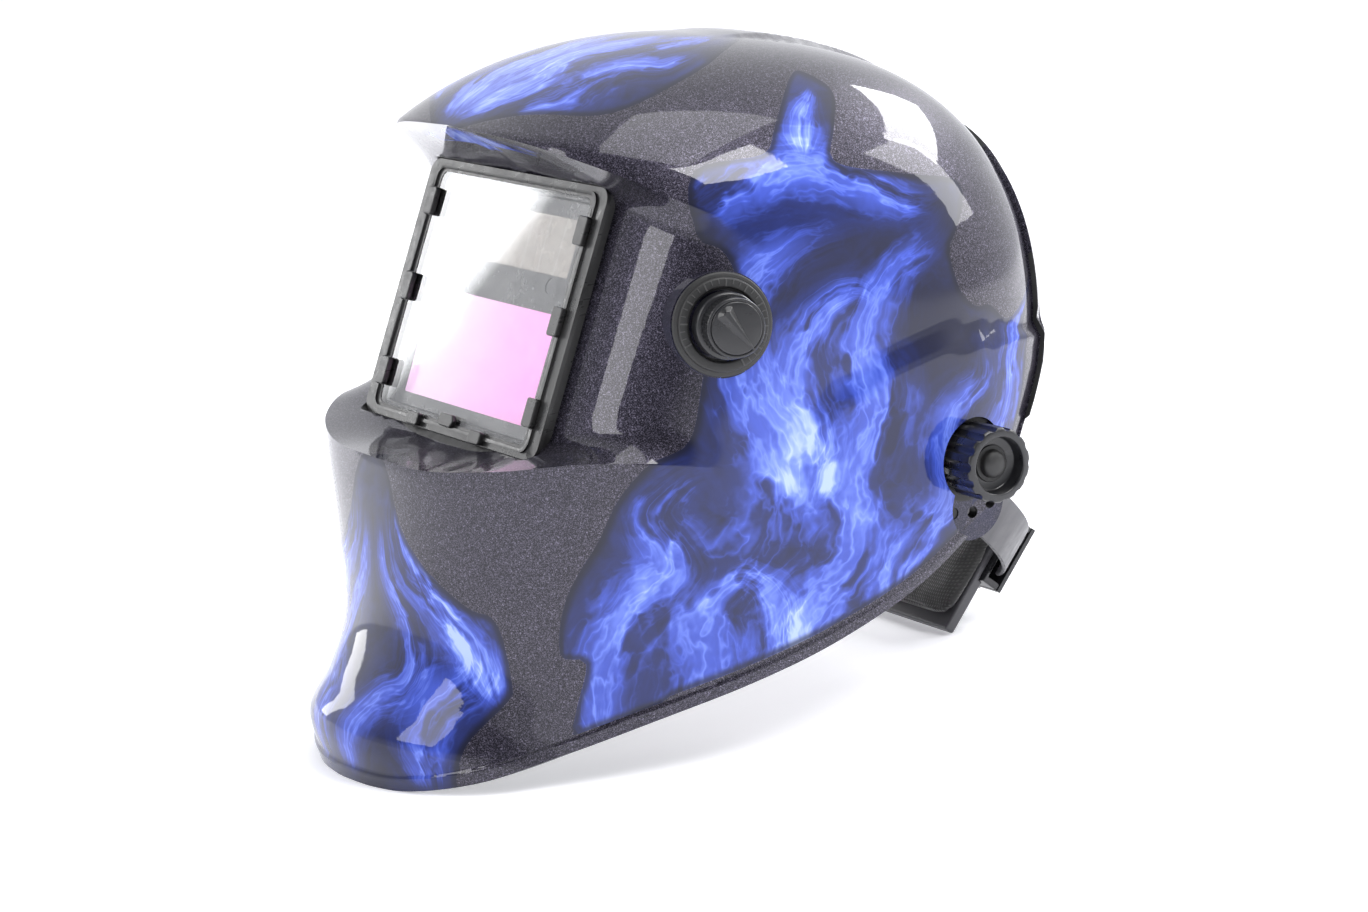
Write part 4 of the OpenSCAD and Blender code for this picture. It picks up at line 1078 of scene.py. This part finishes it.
def build_straps():
    for side, label in ((1, "left"), (-1, "right")):
        strap = copied("strap_" + label, f"rear_strap_{label}", GREY)
        bm = bmesh.new()
        bm.from_mesh(strap.data)
        bmesh.ops.remove_doubles(bm, verts=bm.verts, dist=0.00001)
        bmesh.ops.dissolve_limit(bm, angle_limit=math.radians(1), verts=bm.verts, edges=bm.edges)
        bm.to_mesh(strap.data)
        bm.free()
        with_bevel(strap, 0.5)
        applied(strap)
        finish_shading(strap.data, 40)
        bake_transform(strap)
        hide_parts("strap_" + label)


puffed("sweatband", "sweatband_pad", sweatband_groove)
puffed("nape_pad", "nape_cushion", nape_groove)
build_straps()
softened("nape_cradle", "ratchet", "headgear_grey", 1.1, GREY)
build_dial()
build_tension_knob(KNOB_LEFT, "left")
build_tension_knob(KNOB_RIGHT, "right")
build_ratchet()
build_lens_unit()
for hard, group, width in (("headband", "headgear", 0.5), ("crown_strap_left", "headgear", 0.4),
                           ("crown_strap_right", "headgear", 0.4), ("pivot_arm_left", "headgear", 0.6),
                           ("pivot_arm_right", "headgear", 0.6), ("crown_pegs", "headgear", 0.5)):
    softened(hard, group, "headgear_grey", width, GREY if hard != "crown_pegs" else BLACK)


# ---------- Camera, light and floor ----------
LENS_STEPS = 5


CAMERA_AT, FOCAL, SENSOR = (1.1907, -0.6915, 0.4252), 94.7, 36
AZIMUTH, ELEVATION, ROLL = 59.6, 13.6, -5.4
OPEN_SIDE = (0.80, -0.55, 0.24)
WHITE_ROOM, DIM_ROOM = (0.97, 0.98, 1.02, 1), (0.13, 0.13, 0.15, 1)


def build_stage():
    scene = bpy.context.scene
    az, el, roll = (math.radians(a) for a in (AZIMUTH, ELEVATION, ROLL))
    look = -Vector((math.sin(az) * math.cos(el), -math.cos(az) * math.cos(el), math.sin(el)))
    right = Vector((math.cos(az), math.sin(az), 0))
    up = right.cross(look)
    right, up = right * math.cos(roll) + up * math.sin(roll), up * math.cos(roll) - right * math.sin(roll)
    data = bpy.data.cameras.new("camera")
    data.lens, data.sensor_width = FOCAL, SENSOR
    cam = bpy.data.objects.new("camera", data)
    rot = Matrix((right, up, -look)).transposed().to_4x4()
    cam.matrix_world = Matrix.Translation(CAMERA_AT) @ rot
    scene.collection.objects.link(cam)
    scene.camera = cam
    scene.view_settings.view_transform = "Standard"

    world = bpy.data.worlds.new("studio")
    scene.world = world
    world.use_nodes = True
    tree = world.node_tree
    sky = tree.nodes["Background"]
    sky.inputs[1].default_value = 1.0
    split = tree.nodes.new("ShaderNodeSeparateXYZ")
    tree.links.new(tree.nodes.new("ShaderNodeTexCoord").outputs["Generated"], split.inputs[0])
    # White round the horizon and behind; a dim room above it on the open side
    side = tree.nodes.new("ShaderNodeVectorMath")
    side.operation = "DOT_PRODUCT"
    tree.links.new(tree.nodes.new("ShaderNodeTexCoord").outputs["Generated"], side.inputs[0])
    side.inputs[1].default_value = OPEN_SIDE
    room = tree.nodes.new("ShaderNodeMapRange")
    room.interpolation_type = "SMOOTHSTEP"
    tree.links.new(side.outputs["Value"], room.inputs[0])
    room.inputs[1].default_value, room.inputs[2].default_value = -0.15, 0.65
    height = tree.nodes.new("ShaderNodeMapRange")
    height.interpolation_type = "SMOOTHSTEP"
    tree.links.new(split.outputs[2], height.inputs[0])
    height.inputs[1].default_value, height.inputs[2].default_value = 0.10, 0.30
    dim = tree.nodes.new("ShaderNodeMath")
    dim.operation = "MULTIPLY"
    tree.links.new(room.outputs[0], dim.inputs[0])
    tree.links.new(height.outputs[0], dim.inputs[1])
    blend = tree.nodes.new("ShaderNodeMix")
    blend.data_type = "RGBA"
    tree.links.new(dim.outputs[0], blend.inputs[0])
    blend.inputs[6].default_value, blend.inputs[7].default_value = WHITE_ROOM, DIM_ROOM
    tree.links.new(blend.outputs[2], sky.inputs[0])

    bm = bmesh.new()
    bmesh.ops.create_grid(bm, x_segments=24, y_segments=24, size=6)
    mesh = bpy.data.meshes.new("floor")
    bm.to_mesh(mesh)
    bm.free()
    floor = bpy.data.objects.new("floor", mesh)
    mesh.materials.append(floor_look())
    scene.collection.objects.link(floor)

    def softbox(name, at, aim, size, power):
        light = bpy.data.lights.new(name, "AREA")
        light.shape, light.size, light.size_y = "RECTANGLE", size[0], size[1]
        light.energy = power
        obj = bpy.data.objects.new(name, light)
        facing = (Vector(aim) - Vector(at)).to_track_quat("-Z", "Y")
        obj.matrix_world = Matrix.Translation(at) @ facing.to_matrix().to_4x4()
        scene.collection.objects.link(obj)

    softbox("key", (1.4, 0.6, 1.9), (0, 0, 0.15), (1.0, 0.7), 26)
    softbox("window", (0.2, -1.8, 1.3), (0, 0, 0.15), (0.8, 1.2), 16)
    # Stepped panels make the soft edge of the white reflection across the lens
    for k in range(LENS_STEPS):
        softbox(f"lens_side{k}", (-1.506 - 0.0017 * k, -0.650 + 0.0037 * k, 0.54), (0, -0.07, 0.17),
                (0.30, 0.9), 1.0)
    softbox("overhead", (0.35, 0.35, 2.3), (0, 0.05, 0.15), (1.3, 1.3), 14)
    softbox("crease_light", (-0.1, 1.75, 1.25), (0, 0, 0.15), (1.3, 0.45), 24)
    softbox("rim_light", (0.8, 1.9, 1.0), (0, 0, 0.15), (0.6, 1.0), 12)


build_stage()
